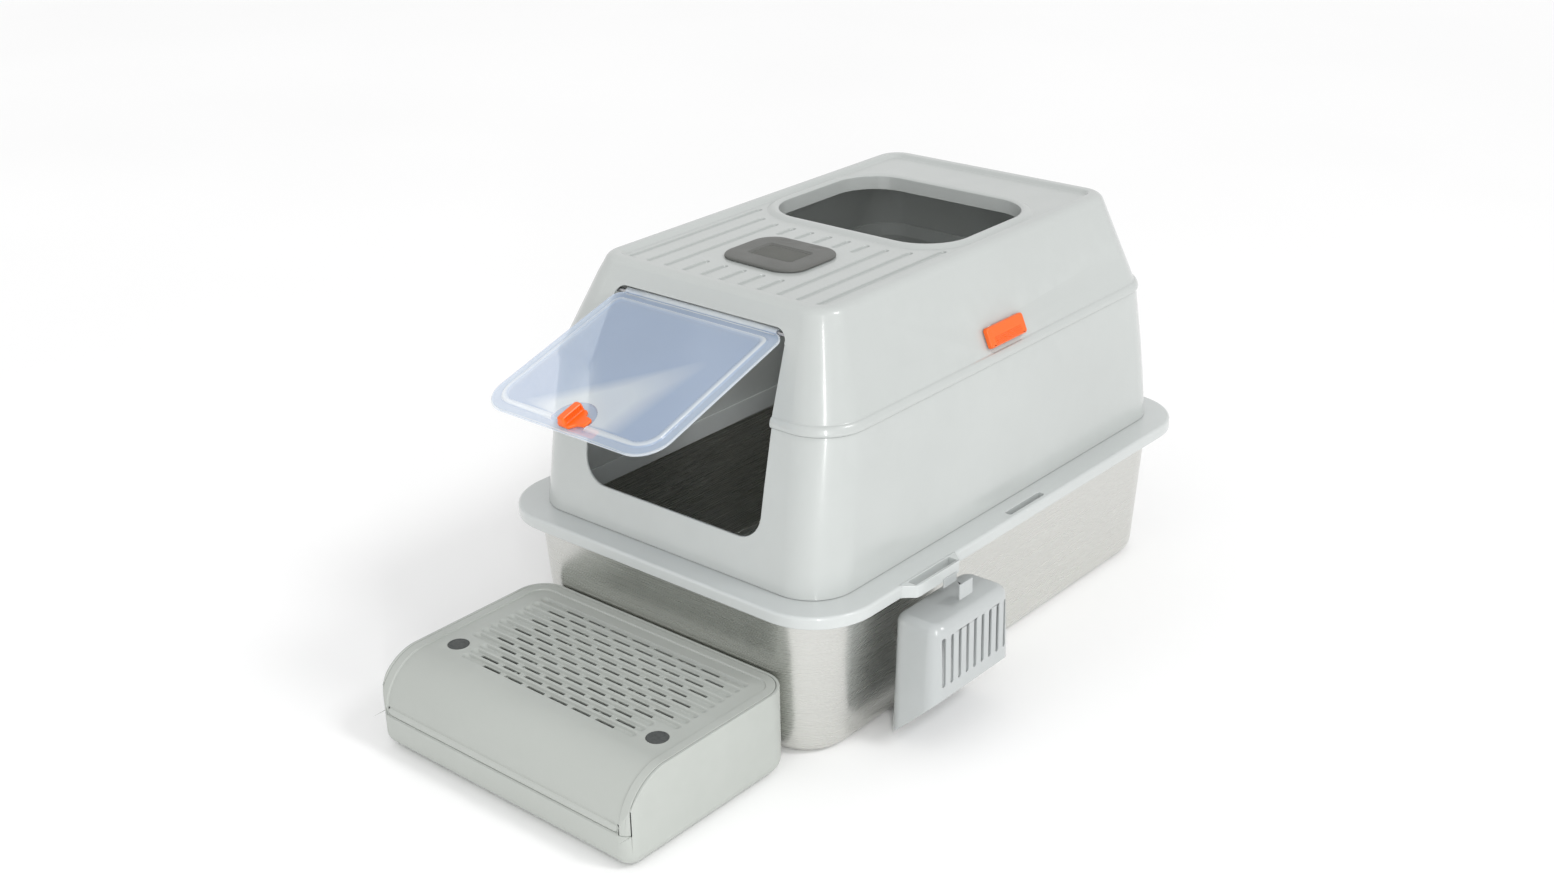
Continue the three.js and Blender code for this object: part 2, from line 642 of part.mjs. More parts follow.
function hoodLid() {
  const base = splitHeight + FIT_GAP;
  const at = (z, by) => outline(inset(hoodAt(z), by), z);
  const shoulder = [0, 1, 2, 3, 4].map((k) => {
    const angle = shoulderTurn * (1 - k / 4);
    const come = shoulderReach - LID_SHOULDER * Math.sin(angle);
    return outline(inset(lidEdge, come), lidTop - LID_SHOULDER + LID_SHOULDER * Math.cos(angle));
  });
  const innerTop = lidTop - LID_SHOULDER;
  const body = loft([
    at(base, -BEAD_PROUD / 2),
    at(base + BEAD_HEIGHT * 0.25, -BEAD_PROUD),
    at(base + BEAD_HEIGHT * 0.65, -BEAD_PROUD),
    at(base + BEAD_HEIGHT * 0.9, -BEAD_PROUD * 0.4),
    at(beadTop, 0),
    ...shoulder,
    outline(inset(lidEdge, shoulderReach + LID_BORDER), lidTop),
    outline(inset(lidEdge, shoulderReach + LID_BORDER + LID_PANEL_DEPTH * 0.7), panelTop),
  ]);
  const cavity = loft([
    at(base, PLASTIC_WALL).map(([x, y]) => [x, y, base - 5]),
    at(base, PLASTIC_WALL),
    at(beadTop, PLASTIC_WALL),
    at(innerTop, PLASTIC_WALL),
    outline(inset(lidEdge, shoulderReach), panelUnder),
  ]);
  const holeSection = centredSection(2 * holeHalf, holeLength, HOLE_CORNER, (holeFront + holeRear) / 2);
  const lip = loft([
    outline(inset(holeSection, -PLASTIC_WALL), panelTop - HOLE_LIP_DROP),
    outline(inset(holeSection, -PLASTIC_WALL), panelUnder),
    outline(inset(holeSection, -HOLE_LIP_WIDTH), panelTop - PLASTIC_WALL / 2),
    outline(inset(holeSection, -HOLE_LIP_WIDTH), panelTop),
    outline(inset(holeSection, -HOLE_LIP_WIDTH * 0.75), panelTop + HOLE_LIP_RISE * 0.8),
    outline(inset(holeSection, -HOLE_LIP_WIDTH * 0.45), panelTop + HOLE_LIP_RISE),
    outline(inset(holeSection, -HOLE_LIP_WIDTH * 0.15), panelTop + HOLE_LIP_RISE * 0.7),
    outline(holeSection, panelTop),
  ]);
  const hole = plate(holeSection, panelTop - HOLE_LIP_DROP - 1, panelTop + HOLE_LIP_RISE + 1);
  const filterHole = plate(
    centredSection(FILTER_TRAY[0] + 2 * SLIDE_GAP, FILTER_TRAY[1] + 2 * SLIDE_GAP, 4 + SLIDE_GAP, filterY),
    panelUnder - 1,
    panelTop + 1,
  );
  const lugs = [-1, 1].map((side) => {
    const inner = side * (entryTopHalf + SLIDE_GAP);
    const outer = inner + side * HINGE_LUG_WIDTH;
    return box(
      [Math.min(inner, outer), Math.max(inner, outer)],
      [hingeY - HINGE_BARREL_RADIUS - 4, hingeY + HINGE_BARREL_RADIUS + 1],
      [hingeHeight - HINGE_BARREL_RADIUS - 1, hingeHeight + HINGE_BARREL_RADIUS + 1],
    ).intersect(body);
  });
  const boreEnd = entryTopHalf + 2 * HINGE_LUG_WIDTH;
  const bore = rod("x", HINGE_PIN_RADIUS + FIT_GAP, [hingeY, hingeHeight], -boreEnd, boreEnd);
  let lid = body.subtract(cavity).subtract(entryCutter());
  lid = joined(lid, lip, ...lugs).subtract(hole).subtract(filterHole).subtract(bore);
  grooves().forEach((cut) => {
    lid = lid.subtract(cut);
  });
  return joined(lid, clipEars(-1), clipEars(1));
}

place(model, "hood_lid", hoodLid(), shellPlastic);

// ---- Entry flap, its pins and its latch -----------------------------------------------------------

const flapFrame = new THREE.Group();
flapFrame.position.set(0, hingeY, hingeHeight);
flapFrame.rotation.x = THREE.MathUtils.degToRad(FLAP_OPEN_ANGLE);
model.add(flapFrame);
// Closed, the flap leans on the outside of the sill, so its length follows from the hinge and the sill.
const flapLength = Math.hypot(hingeHeight - sillHeight, hingeY - hoodAt(sillHeight).front) + SILL_OVERLAP;
const latchY = LATCH_FROM_END - flapLength;

function flapOutline(border, corner) {
  const near = -border - 2;
  const far = border - flapLength;
  return roundedShape([
    [border - flapTopHalf, near, FLAP_TOP_CORNER],
    [border - flapEndHalf, far, corner],
    [flapEndHalf - border, far, corner],
    [flapTopHalf - border, near, FLAP_TOP_CORNER],
  ]);
}

function entryFlap() {
  const sheet = alongZ(flapOutline(0, FLAP_CORNER), -FLAP_THICKNESS / 2, FLAP_THICKNESS / 2);
  const raisedOutline = flapOutline(FLAP_BORDER, FLAP_CORNER - FLAP_BORDER * 0.6);
  const raised = alongZ(raisedOutline, 0, FLAP_THICKNESS / 2 + FLAP_PANEL_RISE);
  const half = flapTopHalf - HINGE_BARREL_INSET;
  const barrel = rod("x", HINGE_BARREL_RADIUS, [0, 0], -half, half);
  const bores = [-1, 1].map((side) => {
    const deep = side * (half - HINGE_PIN_GRIP - 1);
    const out = side * (half + 1);
    return rod("x", HINGE_PIN_RADIUS + FIT_GAP, [0, 0], Math.min(deep, out), Math.max(deep, out));
  });
  const latchHole = rod("z", LATCH_SHAFT_RADIUS + FIT_GAP, [0, latchY], -5, 5);
  const latchBay = rod("z", LATCH_TAB[0] + 2, [0, latchY], FLAP_THICKNESS / 2, 5);
  const whole = joined(sheet, raised.subtract(latchBay), barrel);
  return whole.subtract(bores[0]).subtract(bores[1]).subtract(latchHole);
}

place(flapFrame, "entry_flap", entryFlap(), flapPlastic);

for (const [name, side] of [["flap_pin_left", -1], ["flap_pin_right", 1]]) {
  const deep = side * (flapTopHalf - HINGE_BARREL_INSET - HINGE_PIN_GRIP);
  const out = side * (entryTopHalf + SLIDE_GAP + HINGE_LUG_WIDTH);
  const pin = rod("x", HINGE_PIN_RADIUS, [0, 0], Math.min(deep, out), Math.max(deep, out));
  place(flapFrame, name, pin, steel);
}

const latchFrame = new THREE.Group();
latchFrame.position.set(0, latchY, 0);
flapFrame.add(latchFrame);

function latchKnob() {
  const seat = FLAP_THICKNESS / 2 + FIT_GAP;
  const disc = rod("z", LATCH_DISC_RADIUS, [0, 0], seat, seat + LATCH_DISC_HEIGHT);
  const [width, length, height] = LATCH_GRIP;
  const gripTop = seat + LATCH_DISC_HEIGHT + height;
  const grip = box([-width / 2, width / 2], [-length / 2, length / 2], [seat + 1, gripTop]);
  const [reach, tabWidth, tabHeight] = LATCH_TAB;
  const tab = box([0, reach], [-tabWidth / 2, tabWidth / 2], [seat, seat + tabHeight]);
  const shaftEnd = -FLAP_THICKNESS / 2 - LATCH_TONGUE_DROP - LATCH_TONGUE[2];
  const shaft = rod("z", LATCH_SHAFT_RADIUS, [0, 0], shaftEnd, seat + 1);
  return joined(disc, grip, tab, shaft);
}

function latchTongue() {
  const [reach, width, thick] = LATCH_TONGUE;
  const top = -FLAP_THICKNESS / 2 - LATCH_TONGUE_DROP;
  const bar = box([-width / 2 - 2, reach - width / 2], [-width / 2, width / 2], [top - thick, top]);
  return bar.subtract(rod("z", LATCH_SHAFT_RADIUS + FIT_GAP, [0, 0], top - thick - 1, top + 1));
}

place(latchFrame, "latch_knob", latchKnob(), orangePlastic);
place(latchFrame, "latch_tongue", latchTongue(), orangePlastic);

// ---- Side clips -----------------------------------------------------------------------------------

function sideClip() {
  const back = SLIDE_GAP;
  const front = CLIP_THICKNESS;
  const top = clipAxis.z + CLIP_AXIS_OUT - back;
  const section = roundedShape([
    [back, -CLIP_HEIGHT, 0],
    [front, -CLIP_HEIGHT, 1],
    [front, top, 1.2],
    [back, top, CLIP_AXIS_OUT - back],
  ]);
  const half = CLIP_LENGTH / 2;
  let clip = alongY(section, -half, half);
  const bore = rod("y", CLIP_PIN_RADIUS + FIT_GAP, [clipAxis.x, clipAxis.z], -half + 2, half - 2);
  clip = clip.subtract(bore);
  [-1, 1].forEach((end) => {
    const from = end * CLIP_EAR_OFFSET - CLIP_EAR_WIDTH / 2 - SLIDE_GAP;
    const room = CLIP_EAR_RADIUS + SLIDE_GAP / 2;
    const to = from + CLIP_EAR_WIDTH + 2 * SLIDE_GAP;
    clip = clip.subtract(box([-1, clipAxis.x + room], [from, to], [clipAxis.z - room, top + 1]));
  });
  return clip;
}

for (const [label, side] of [["left", -1], ["right", 1]]) {
  const seat = onLidSide(new THREE.Group(), side);
  const pinHalf = CLIP_LENGTH / 2 - 2 - FIT_GAP;
  place(seat, `side_clip_${label}`, sideClip(), orangePlastic);
  const pin = rod("y", CLIP_PIN_RADIUS, [clipAxis.x, clipAxis.z], -pinHalf, pinHalf);
  place(seat, `clip_pin_${label}`, pin, steel);
  model.add(seat);
}

// ---- Charcoal filter ------------------------------------------------------------------------------

const coverUnder = panelTop + FIT_GAP;
const trayTop = coverUnder - FIT_GAP;
const trayBottom = trayTop - FILTER_TRAY[2];

function filterCover() {
  const [width, length, height] = FILTER_COVER;
  const outline = centredSection(width, length, FILTER_COVER_CORNER, filterY);
  const lower = plate(outline, coverUnder, coverUnder + height);
  const [openWidth, openLength] = FILTER_GRILLE;
  const dishWidth = openWidth + 2 * FILTER_DISH_MARGIN;
  const dishLength = openLength + 2 * FILTER_DISH_MARGIN;
  const dishOutline = centredSection(dishWidth, dishLength, FILTER_DISH_CORNER, filterY);
  const dish = plate(dishOutline, coverUnder + height - FILTER_DISH_DEPTH, coverUnder + height + 1);
  const windowHalf = openWidth / 2;
  const windowFront = filterY - openLength / 2;
  const cellWidth = openWidth / FILTER_GRILLE_BARS[0];
  const cellLength = openLength / FILTER_GRILLE_BARS[1];
  let cover = lower.subtract(dish);
  for (let i = 0; i < FILTER_GRILLE_BARS[0]; i += 1) {
    for (let j = 0; j < FILTER_GRILLE_BARS[1]; j += 1) {
      const x = -windowHalf + i * cellWidth;
      const y = windowFront + j * cellLength;
      const cell = box(
        [x + FILTER_BAR / 2, x + cellWidth - FILTER_BAR / 2],
        [y + FILTER_BAR / 2, y + cellLength - FILTER_BAR / 2],
        [coverUnder - 1, coverUnder + height + 1],
      );
      cover = cover.subtract(cell);
    }
  }
  return cover;
}

function filterTray() {
  const [width, length] = FILTER_TRAY;
  const outer = plate(centredSection(width, length, FILTER_TRAY_CORNER, filterY), trayBottom, trayTop);
  const wall = FILTER_TRAY_WALL;
  const inner = plate(
    centredSection(width - 2 * wall, length - 2 * wall, FILTER_TRAY_CORNER - wall, filterY),
    trayBottom + wall,
    trayTop + 1,
  );
  let tray = outer.subtract(inner);
  for (let k = -2; k <= 2; k += 1) {
    const x = k * TRAY_SLOT_PITCH;
    const slot = box(
      [x - TRAY_SLOT_WIDTH / 2, x + TRAY_SLOT_WIDTH / 2],
      [filterY - length / 2 + TRAY_SLOT_MARGIN, filterY + length / 2 - TRAY_SLOT_MARGIN],
      [trayBottom - 1, trayBottom + wall + 1],
    );
    tray = tray.subtract(slot);
  }
  return tray;
}

function filterPad() {
  const [width, length] = FILTER_TRAY;
  const shrink = 2 * (FILTER_TRAY_WALL + SLIDE_GAP);
  const bottom = trayBottom + FILTER_TRAY_WALL + FIT_GAP;
  const section = centredSection(width - shrink, length - shrink, 3, filterY);
  return plate(section, bottom, bottom + FILTER_PAD_HEIGHT);
}

place(model, "filter_cover", filterCover(), greyPlastic);
place(model, "filter_tray", filterTray(), greyPlastic);
place(model, "filter_pad", filterPad(), charcoal);

// ---- Scoop ----------------------------------------------------------------------------------------

const handleBack = rimEdge + HANDLE_BACK_GAP;
const handleFront = handleBack + HANDLE_DEPTH;
const headTop = skirtBottom - HEAD_BELOW_RIM;
const headBack = rimEdge - HEAD_UNDER_RIM;
const headFront = headBack + HEAD_DEPTH;
const headFrontEdge = headTop - HEAD_FRONT_HEIGHT;
const headBackEdge = headTop - HEAD_BACK_HEIGHT;
const handleBottom = headTop + FIT_GAP;

// Outline of the scoop's head at height z: a flat-backed box whose sides flare towards the mouth.
function headRow(z, by) {
  const t = (headTop - z) / HEAD_BACK_HEIGHT;
  const half = HEAD_WIDTH / 2 + HEAD_FLARE * t - by;
  const radius = Math.max(2, HEAD_CORNER - by);
  const middle = (headBack + headFront) / 2;
  const section = {
    half: HEAD_DEPTH / 2 - by,
    front: SCOOP_CENTRE_Y - half,
    rear: SCOOP_CENTRE_Y + half,
    radius,
  };
  return outline(section, z).map(([x, y, height]) => [x + middle, y, height]);
}

function scoopHead() {
  const outside = loft([
    headRow(headBackEdge - 20, 0),
    headRow(headTop - HEAD_TOP_ROUND, 0),
    headRow(headTop - HEAD_TOP_ROUND * 0.3, HEAD_TOP_ROUND * 0.3),
    headRow(headTop, HEAD_TOP_ROUND),
  ]);
  const inside = loft([
    headRow(headBackEdge - 21, HEAD_WALL),
    headRow(headTop - HEAD_TOP_ROUND - 1, HEAD_WALL),
    headRow(headTop - HEAD_WALL, HEAD_TOP_ROUND + 1),
  ]);
  const slope = (HEAD_BACK_HEIGHT - HEAD_FRONT_HEIGHT) / HEAD_DEPTH;
  const far = 40; // past the head on every side
  const bottom = headBackEdge - 2 * far;
  const below = roundedShape([
    [headBack - far, bottom, 0],
    [headFront + far, bottom, 0],
    [headFront + far, headFrontEdge + slope * far, 0],
    [headBack - far, headBackEdge - slope * far, 0],
  ]);
  const mouth = alongY(below, SCOOP_CENTRE_Y - HEAD_WIDTH, SCOOP_CENTRE_Y + HEAD_WIDTH);
  let head = outside.subtract(inside).subtract(mouth);
  const [slotWidth, slotHeight] = HEAD_SLOT;
  const slotTop = headTop - HEAD_SLOT_BELOW_TOP;
  for (let k = 0; k < HEAD_SLOTS; k += 1) {
    const y = SCOOP_CENTRE_Y + (k - (HEAD_SLOTS - 1) / 2) * HEAD_SLOT_PITCH;
    const slot = box(
      [headFront - HEAD_WALL - 2, headFront + 2],
      [y - slotWidth / 2, y + slotWidth / 2],
      [slotTop - slotHeight, slotTop],
    );
    head = head.subtract(slot);
  }
  return head;
}

function scoopHandle() {
  const top = handleBottom + HANDLE_LENGTH;
  const waist = handleBottom + HANDLE_LENGTH * HANDLE_WAIST_AT;
  const neck = handleBottom + HANDLE_LENGTH * HANDLE_NECK_AT;
  const y = SCOOP_CENTRE_Y;
  const foot = HANDLE_BASE_WIDTH / 2;
  const narrow = HANDLE_WAIST_WIDTH / 2;
  const wide = HANDLE_TOP_WIDTH / 2;
  const round = HANDLE_TOP_ROUND;
  const flare = handleBottom + HANDLE_FOOT_FLARE;
  const shape = new THREE.Shape();
  shape.moveTo(y - foot, handleBottom);
  shape.lineTo(y + foot, handleBottom);
  shape.quadraticCurveTo(y + narrow, flare, y + narrow, waist);
  shape.lineTo(y + narrow + HANDLE_NECK_SPREAD, neck);
  shape.quadraticCurveTo(y + wide, neck + round, y + wide, top - round);
  shape.quadraticCurveTo(y + wide, top, y + wide - round, top);
  shape.lineTo(y - wide + round, top);
  shape.quadraticCurveTo(y - wide, top, y - wide, top - round);
  shape.quadraticCurveTo(y - wide, neck + round, y - narrow - HANDLE_NECK_SPREAD, neck);
  shape.lineTo(y - narrow, waist);
  shape.quadraticCurveTo(y - narrow, flare, y - foot, handleBottom);
  const bar = alongX(shape, handleBack, handleFront);
  const notchTop = RIM_TOP + HANDLE_NOTCH_ABOVE_RIM;
  const notchFront = rimEdge + BRACKET_OUT + SLIDE_GAP + 0.5;
  const notchAlong = [y - HANDLE_BASE_WIDTH, y + HANDLE_BASE_WIDTH];
  const notch = box([handleBack - 1, notchFront], notchAlong, [handleBottom - 1, notchTop]);
  const hook = box(
    [handleBack, bracketSlotOuter - SLIDE_GAP],
    [y - HOOK_WIDTH / 2, y + HOOK_WIDTH / 2],
    [notchTop - HOOK_DROP, notchTop + 1],
  );
  const windowMiddle = handleBottom + HANDLE_WINDOW_UP;
  const [windowWidth, windowHeight] = HANDLE_WINDOW;
  const window = box(
    [notchFront - 1, handleFront + 1],
    [y - windowWidth / 2, y + windowWidth / 2],
    [windowMiddle - windowHeight / 2, windowMiddle + windowHeight / 2],
  );
  return joined(bar.subtract(notch), hook).subtract(window);
}

place(model, "scoop_head", scoopHead(), shellPlastic);
place(model, "scoop_handle", scoopHandle(), shellPlastic);

// ---- Step -----------------------------------------------------------------------------------------

const panFrontAtStep = inset(panWallTop, PAN_DRAFT * (1 - STEP_HEIGHT / panTop)).front;
const stepRear = panFrontAtStep - STEP_GAP;
const stepFront = stepRear - STEP_DEPTH;
const noseBase = STEP_HEIGHT - STEP_NOSE;
const seamHeight = noseBase - STEP_SEAM_BELOW_NOSE;
const plugX = STEP_WIDTH / 2 - PLUG_FROM_SIDE;

// The step's plan, come in by a margin: larger corners at the rear than at the front.
function stepPlate(by, from, to) {
  const past = STEP_REAR_CORNER;
  const half = STEP_WIDTH / 2 - by;
  const front = stepFront + by;
  const rear = stepRear - by;
  const rearPart = plate({ half, front: front - past, rear, radius: STEP_REAR_CORNER - by }, from, to);
  const frontPart = plate({ half, front, rear: rear + past, radius: STEP_FRONT_CORNER - by }, from, to);
  return rearPart.intersect(frontPart);
}

// The step's side outline, come in by a margin from the top and the nose.
function stepProfile(by) {
  const past = 20; // past the plan, behind and below
  const shape = new THREE.Shape();
  shape.moveTo(stepRear + past, -past);
  shape.lineTo(stepRear + past, STEP_HEIGHT - by);
  shape.lineTo(stepFront + STEP_NOSE, STEP_HEIGHT - by);
  shape.absarc(stepFront + STEP_NOSE, noseBase, STEP_NOSE - by, Math.PI / 2, Math.PI, false);
  shape.lineTo(stepFront + by, -past);
  shape.closePath();
  return alongX(shape, -STEP_WIDTH, STEP_WIDTH);
}

// The room between the base's cheeks and rear wall that the cover drops into, open to the front.
function coverRoom(by, from) {
  const section = {
    half: STEP_WIDTH / 2 - STEP_WALL - by,
    front: stepFront - STEP_WIDTH,
    rear: stepRear - STEP_WALL - by,
    radius: STEP_REAR_CORNER - STEP_WALL - by,
  };
  return plate(section, from, STEP_HEIGHT + 5);
}

const stepBlock = stepPlate(0, STEP_FOOT_HEIGHT, STEP_HEIGHT + 5).intersect(stepProfile(0));

// A wall that carries the cover from below. Its front end is joined to the base's front wall.
function stepRib(x) {
  const thick = [x - STEP_WALL / 2, x + STEP_WALL / 2];
  const rear = stepRear - 2 * (STEP_WALL + SLIDE_GAP);
  const bottom = STEP_FOOT_HEIGHT + STEP_WALL / 2;
  const underCover = stepProfile(STEP_WALL + FIT_GAP);
  const upper = box(thick, [stepFront, rear], [bottom, STEP_HEIGHT]).intersect(underCover);
  const lower = box(thick, [stepFront + STEP_WALL / 2, rear], [bottom, seamHeight - FIT_GAP]);
  return joined(upper, lower);
}

function stepBase() {
  const hollow = stepPlate(STEP_WALL, STEP_FOOT_HEIGHT + STEP_WALL, STEP_HEIGHT + 5);
  const shell = stepBlock.subtract(hollow).subtract(coverRoom(0, seamHeight));
  return joined(shell, stepRib(-STEP_RIB_X), stepRib(STEP_RIB_X));
}

function stepSlots(rowY, shift) {
  const reach = STEP_WIDTH / 2 - STEP_BORDER - STEP_SLOT[0] / 2 - 4;
  const cuts = [];
  const count = Math.floor((2 * reach - shift) / STEP_SLOT_PITCH) + 1;
  const used = (count - 1) * STEP_SLOT_PITCH;
  for (let k = 0; k < count; k += 1) {
    const x = -used / 2 + k * STEP_SLOT_PITCH;
    const besidePlug = Math.abs(Math.abs(x) - plugX) < STEP_SLOT[0] / 2 + PLUG_RADIUS + 3;
    const inPlugRow = Math.abs(rowY - (stepFront + PLUG_FROM_FRONT)) < STEP_SLOT[1] / 2 + PLUG_RADIUS + 3;
    if (!(besidePlug && inPlugRow)) {
      cuts.push(
        box(
          [x - STEP_SLOT[0] / 2, x + STEP_SLOT[0] / 2],
          [rowY - STEP_SLOT[1] / 2, rowY + STEP_SLOT[1] / 2],
          [STEP_HEIGHT - STEP_WALL - 2, STEP_HEIGHT + 1],
        ),
      );
    }
  }
  return cuts;
}

function stepCover() {
  const sheetRoom = coverRoom(SLIDE_GAP + STEP_WALL, 0)
    .intersect(stepProfile(STEP_WALL))
    .intersect(stepPlate(STEP_WALL, 0, STEP_HEIGHT));
  const outside = stepBlock.intersect(coverRoom(SLIDE_GAP, seamHeight + FIT_GAP));
  let cover = outside.subtract(sheetRoom).subtract(stepProfile(STEP_SKIRT));
  const recessPlan = {
    half: STEP_WIDTH / 2 - STEP_BORDER,
    front: stepFront + STEP_NOSE,
    rear: stepRear - STEP_BORDER,
    radius: STEP_REAR_CORNER - STEP_BORDER,
  };
  cover = cover.subtract(plate(recessPlan, STEP_HEIGHT - STEP_RECESS, STEP_HEIGHT + 1));
  const lastRow = recessPlan.rear - 8;
  for (let row = 0; row < STEP_ROWS; row += 1) {
    const rowY = lastRow - row * STEP_ROW_PITCH;
    stepSlots(rowY, (row % 2) * STEP_SLOT_PITCH).forEach((cut) => {
      cover = cover.subtract(cut);
    });
  }
  [-1, 1].forEach((side) => {
    const spot = [side * plugX, stepFront + PLUG_FROM_FRONT];
    cover = cover.subtract(rod("z", PLUG_RADIUS, spot, STEP_HEIGHT - 10, STEP_HEIGHT + 1));
  });
  return cover;
}

function stepPlug(side) {
  const spot = [side * plugX, stepFront + PLUG_FROM_FRONT];
  const under = STEP_HEIGHT - STEP_WALL - FIT_GAP;
  const head = rod("z", PLUG_RADIUS - FIT_GAP, spot, under - 1, STEP_HEIGHT - STEP_RECESS + 0.4);
  const flange = rod("z", PLUG_RADIUS + 2, spot, under - 2.5, under);
  return joined(head, flange);
}

place(model, "step_base", stepBase(), stepPlastic);
place(model, "step_cover", stepCover(), stepPlastic);
place(model, "step_plug_left", stepPlug(-1), rubber);
place(model, "step_plug_right", stepPlug(1), rubber);

let footNumber = 0;
for (const x of [-1, 1]) {
  for (const y of [stepFront + STEP_FOOT_INSET, stepRear - STEP_FOOT_INSET]) {
    footNumber += 1;
    const spot = [x * (STEP_WIDTH / 2 - STEP_FOOT_INSET), y];
    const foot = rod("z", STEP_FOOT_RADIUS, spot, 0, STEP_FOOT_HEIGHT - FIT_GAP);
    place(model, `step_foot_${footNumber}`, foot, rubber);
  }
}

export default model;
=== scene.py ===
# Hooded cat litter box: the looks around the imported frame.
# Sizes are in millimetres and become metres where a mesh is made. The entry faces -Y.
import json
import math

import bmesh
import bpy
from mathutils import Matrix, Vector


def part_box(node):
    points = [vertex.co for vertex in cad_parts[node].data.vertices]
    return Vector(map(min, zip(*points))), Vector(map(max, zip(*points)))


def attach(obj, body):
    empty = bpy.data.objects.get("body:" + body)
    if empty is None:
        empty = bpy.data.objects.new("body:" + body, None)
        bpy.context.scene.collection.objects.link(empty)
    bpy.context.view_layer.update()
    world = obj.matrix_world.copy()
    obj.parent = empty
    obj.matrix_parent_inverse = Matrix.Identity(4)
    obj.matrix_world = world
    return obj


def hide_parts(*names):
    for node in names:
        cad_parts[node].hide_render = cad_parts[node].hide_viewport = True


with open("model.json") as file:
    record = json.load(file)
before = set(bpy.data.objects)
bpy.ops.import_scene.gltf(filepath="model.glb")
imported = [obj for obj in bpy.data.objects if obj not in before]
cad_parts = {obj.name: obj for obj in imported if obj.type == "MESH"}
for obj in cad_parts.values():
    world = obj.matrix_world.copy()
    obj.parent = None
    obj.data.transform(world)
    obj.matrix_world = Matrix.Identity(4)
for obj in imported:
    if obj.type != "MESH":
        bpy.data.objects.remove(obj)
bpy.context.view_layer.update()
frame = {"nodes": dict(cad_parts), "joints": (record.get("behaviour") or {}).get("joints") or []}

MM = 0.001


def cad(node):
    """Lowest and highest corner of a CAD node, in millimetres."""
    low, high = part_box(node)
    return low / MM, high / MM


# ---- Sizes taken from the frame ----

rim_low, rim_high = cad("rim_frame")
pan_high = cad("steel_pan")[1]
lid_high = cad("hood_lid")[1]
filter_low, filter_high = cad("filter_cover")
base_low, base_high = cad("step_base")
cover_low = cad("step_cover")[0]
head_low, head_high = cad("scoop_head")
handle_low, handle_high = cad("scoop_handle")
plug_low, plug_high = cad("step_plug_right")
clip_low, clip_high = cad("side_clip_right")
joints = {joint["name"]: joint for joint in frame["joints"]}

# ---- Sizes that the looks add ----

FIT_GAP = 0.3
SLIDE_GAP = 0.5
WALL = 2.6
CORNER_STEPS = 14  # straight pieces in a rounded corner of a plan outline

RIM_LIP_UP = 4
RIM_CORNER = 61
RIM_ROUND = 3
SLOT_EDGE = 5.5
SLOT_WIDTH = 7

LEDGE_SIDE = 26.5
LEDGE_FRONT = 25.6
LEDGE_REAR = 18.5
HOOD_CORNER = 43
HOOD_SPLIT = 142
HOOD_TAPER = 5
HOOD_RAKE = 22.4
HOOD_BULGE = 1.2
BEAD_HEIGHT = 9
BEAD_PROUD = 2.8
BEAD_STEP = 2
LID_SIDE_RAKE = 36
LID_FRONT_RAKE = 40
LID_REAR_RAKE = 23.5
LID_CORNER = 25
LID_SHOULDER = 11
LID_BORDER = 5
PANEL_DEPTH = 3.5
PANEL_SHEET = 4.4
TONGUE = 6

PAN_SIDE_INSET = 22
PAN_END_INSET = 10.5
PAN_DRAFT = 11
PAN_CORNER = 57
PAN_FLOOR_ROUND = 14
PAN_ROLL = 7
PAN_SHEET = 1

rim_top = rim_high.z - RIM_LIP_UP
rim_half = -rim_low.x
rim_front = rim_low.y
rim_rear = rim_high.y
skirt_bottom = rim_top - 11.6
lid_top = lid_high.z
panel_top = lid_top - PANEL_DEPTH
split = rim_top + HOOD_SPLIT
bead_top = split + BEAD_HEIGHT
rim_plate_under = rim_top - WALL


class Section:
    """A rounded rectangle in plan."""

    def __init__(self, half, front, rear, radius):
        self.half = half
        self.front = front
        self.rear = rear
        self.radius = radius

    def inset(self, by):
        return Section(self.half - by, self.front + by, self.rear - by, max(1.0, self.radius - by))

    def above(self, side, front, rear, radius):
        return Section(self.half - side, self.front + front, self.rear - rear, radius)

    def mix(self, other, t):
        return Section(
            self.half + (other.half - self.half) * t,
            self.front + (other.front - self.front) * t,
            self.rear + (other.rear - self.rear) * t,
            self.radius + (other.radius - self.radius) * t,
        )

    def outline(self, z, steps=CORNER_STEPS):
        half, front, rear, radius = self.half, self.front, self.rear, self.radius
        centres = (
            (half - radius, rear - radius, 0.0),
            (radius - half, rear - radius, 0.5),
            (radius - half, front + radius, 1.0),
            (half - radius, front + radius, 1.5),
        )
        points = []
        for x, y, start in centres:
            for k in range(steps + 1):
                angle = math.pi * (start + 0.5 * k / steps)
                points.append((x + radius * math.cos(angle), y + radius * math.sin(angle), z))
        return points


def centred(width, length, radius, y=0.0):
    return Section(width / 2, y - length / 2, y + length / 2, radius)


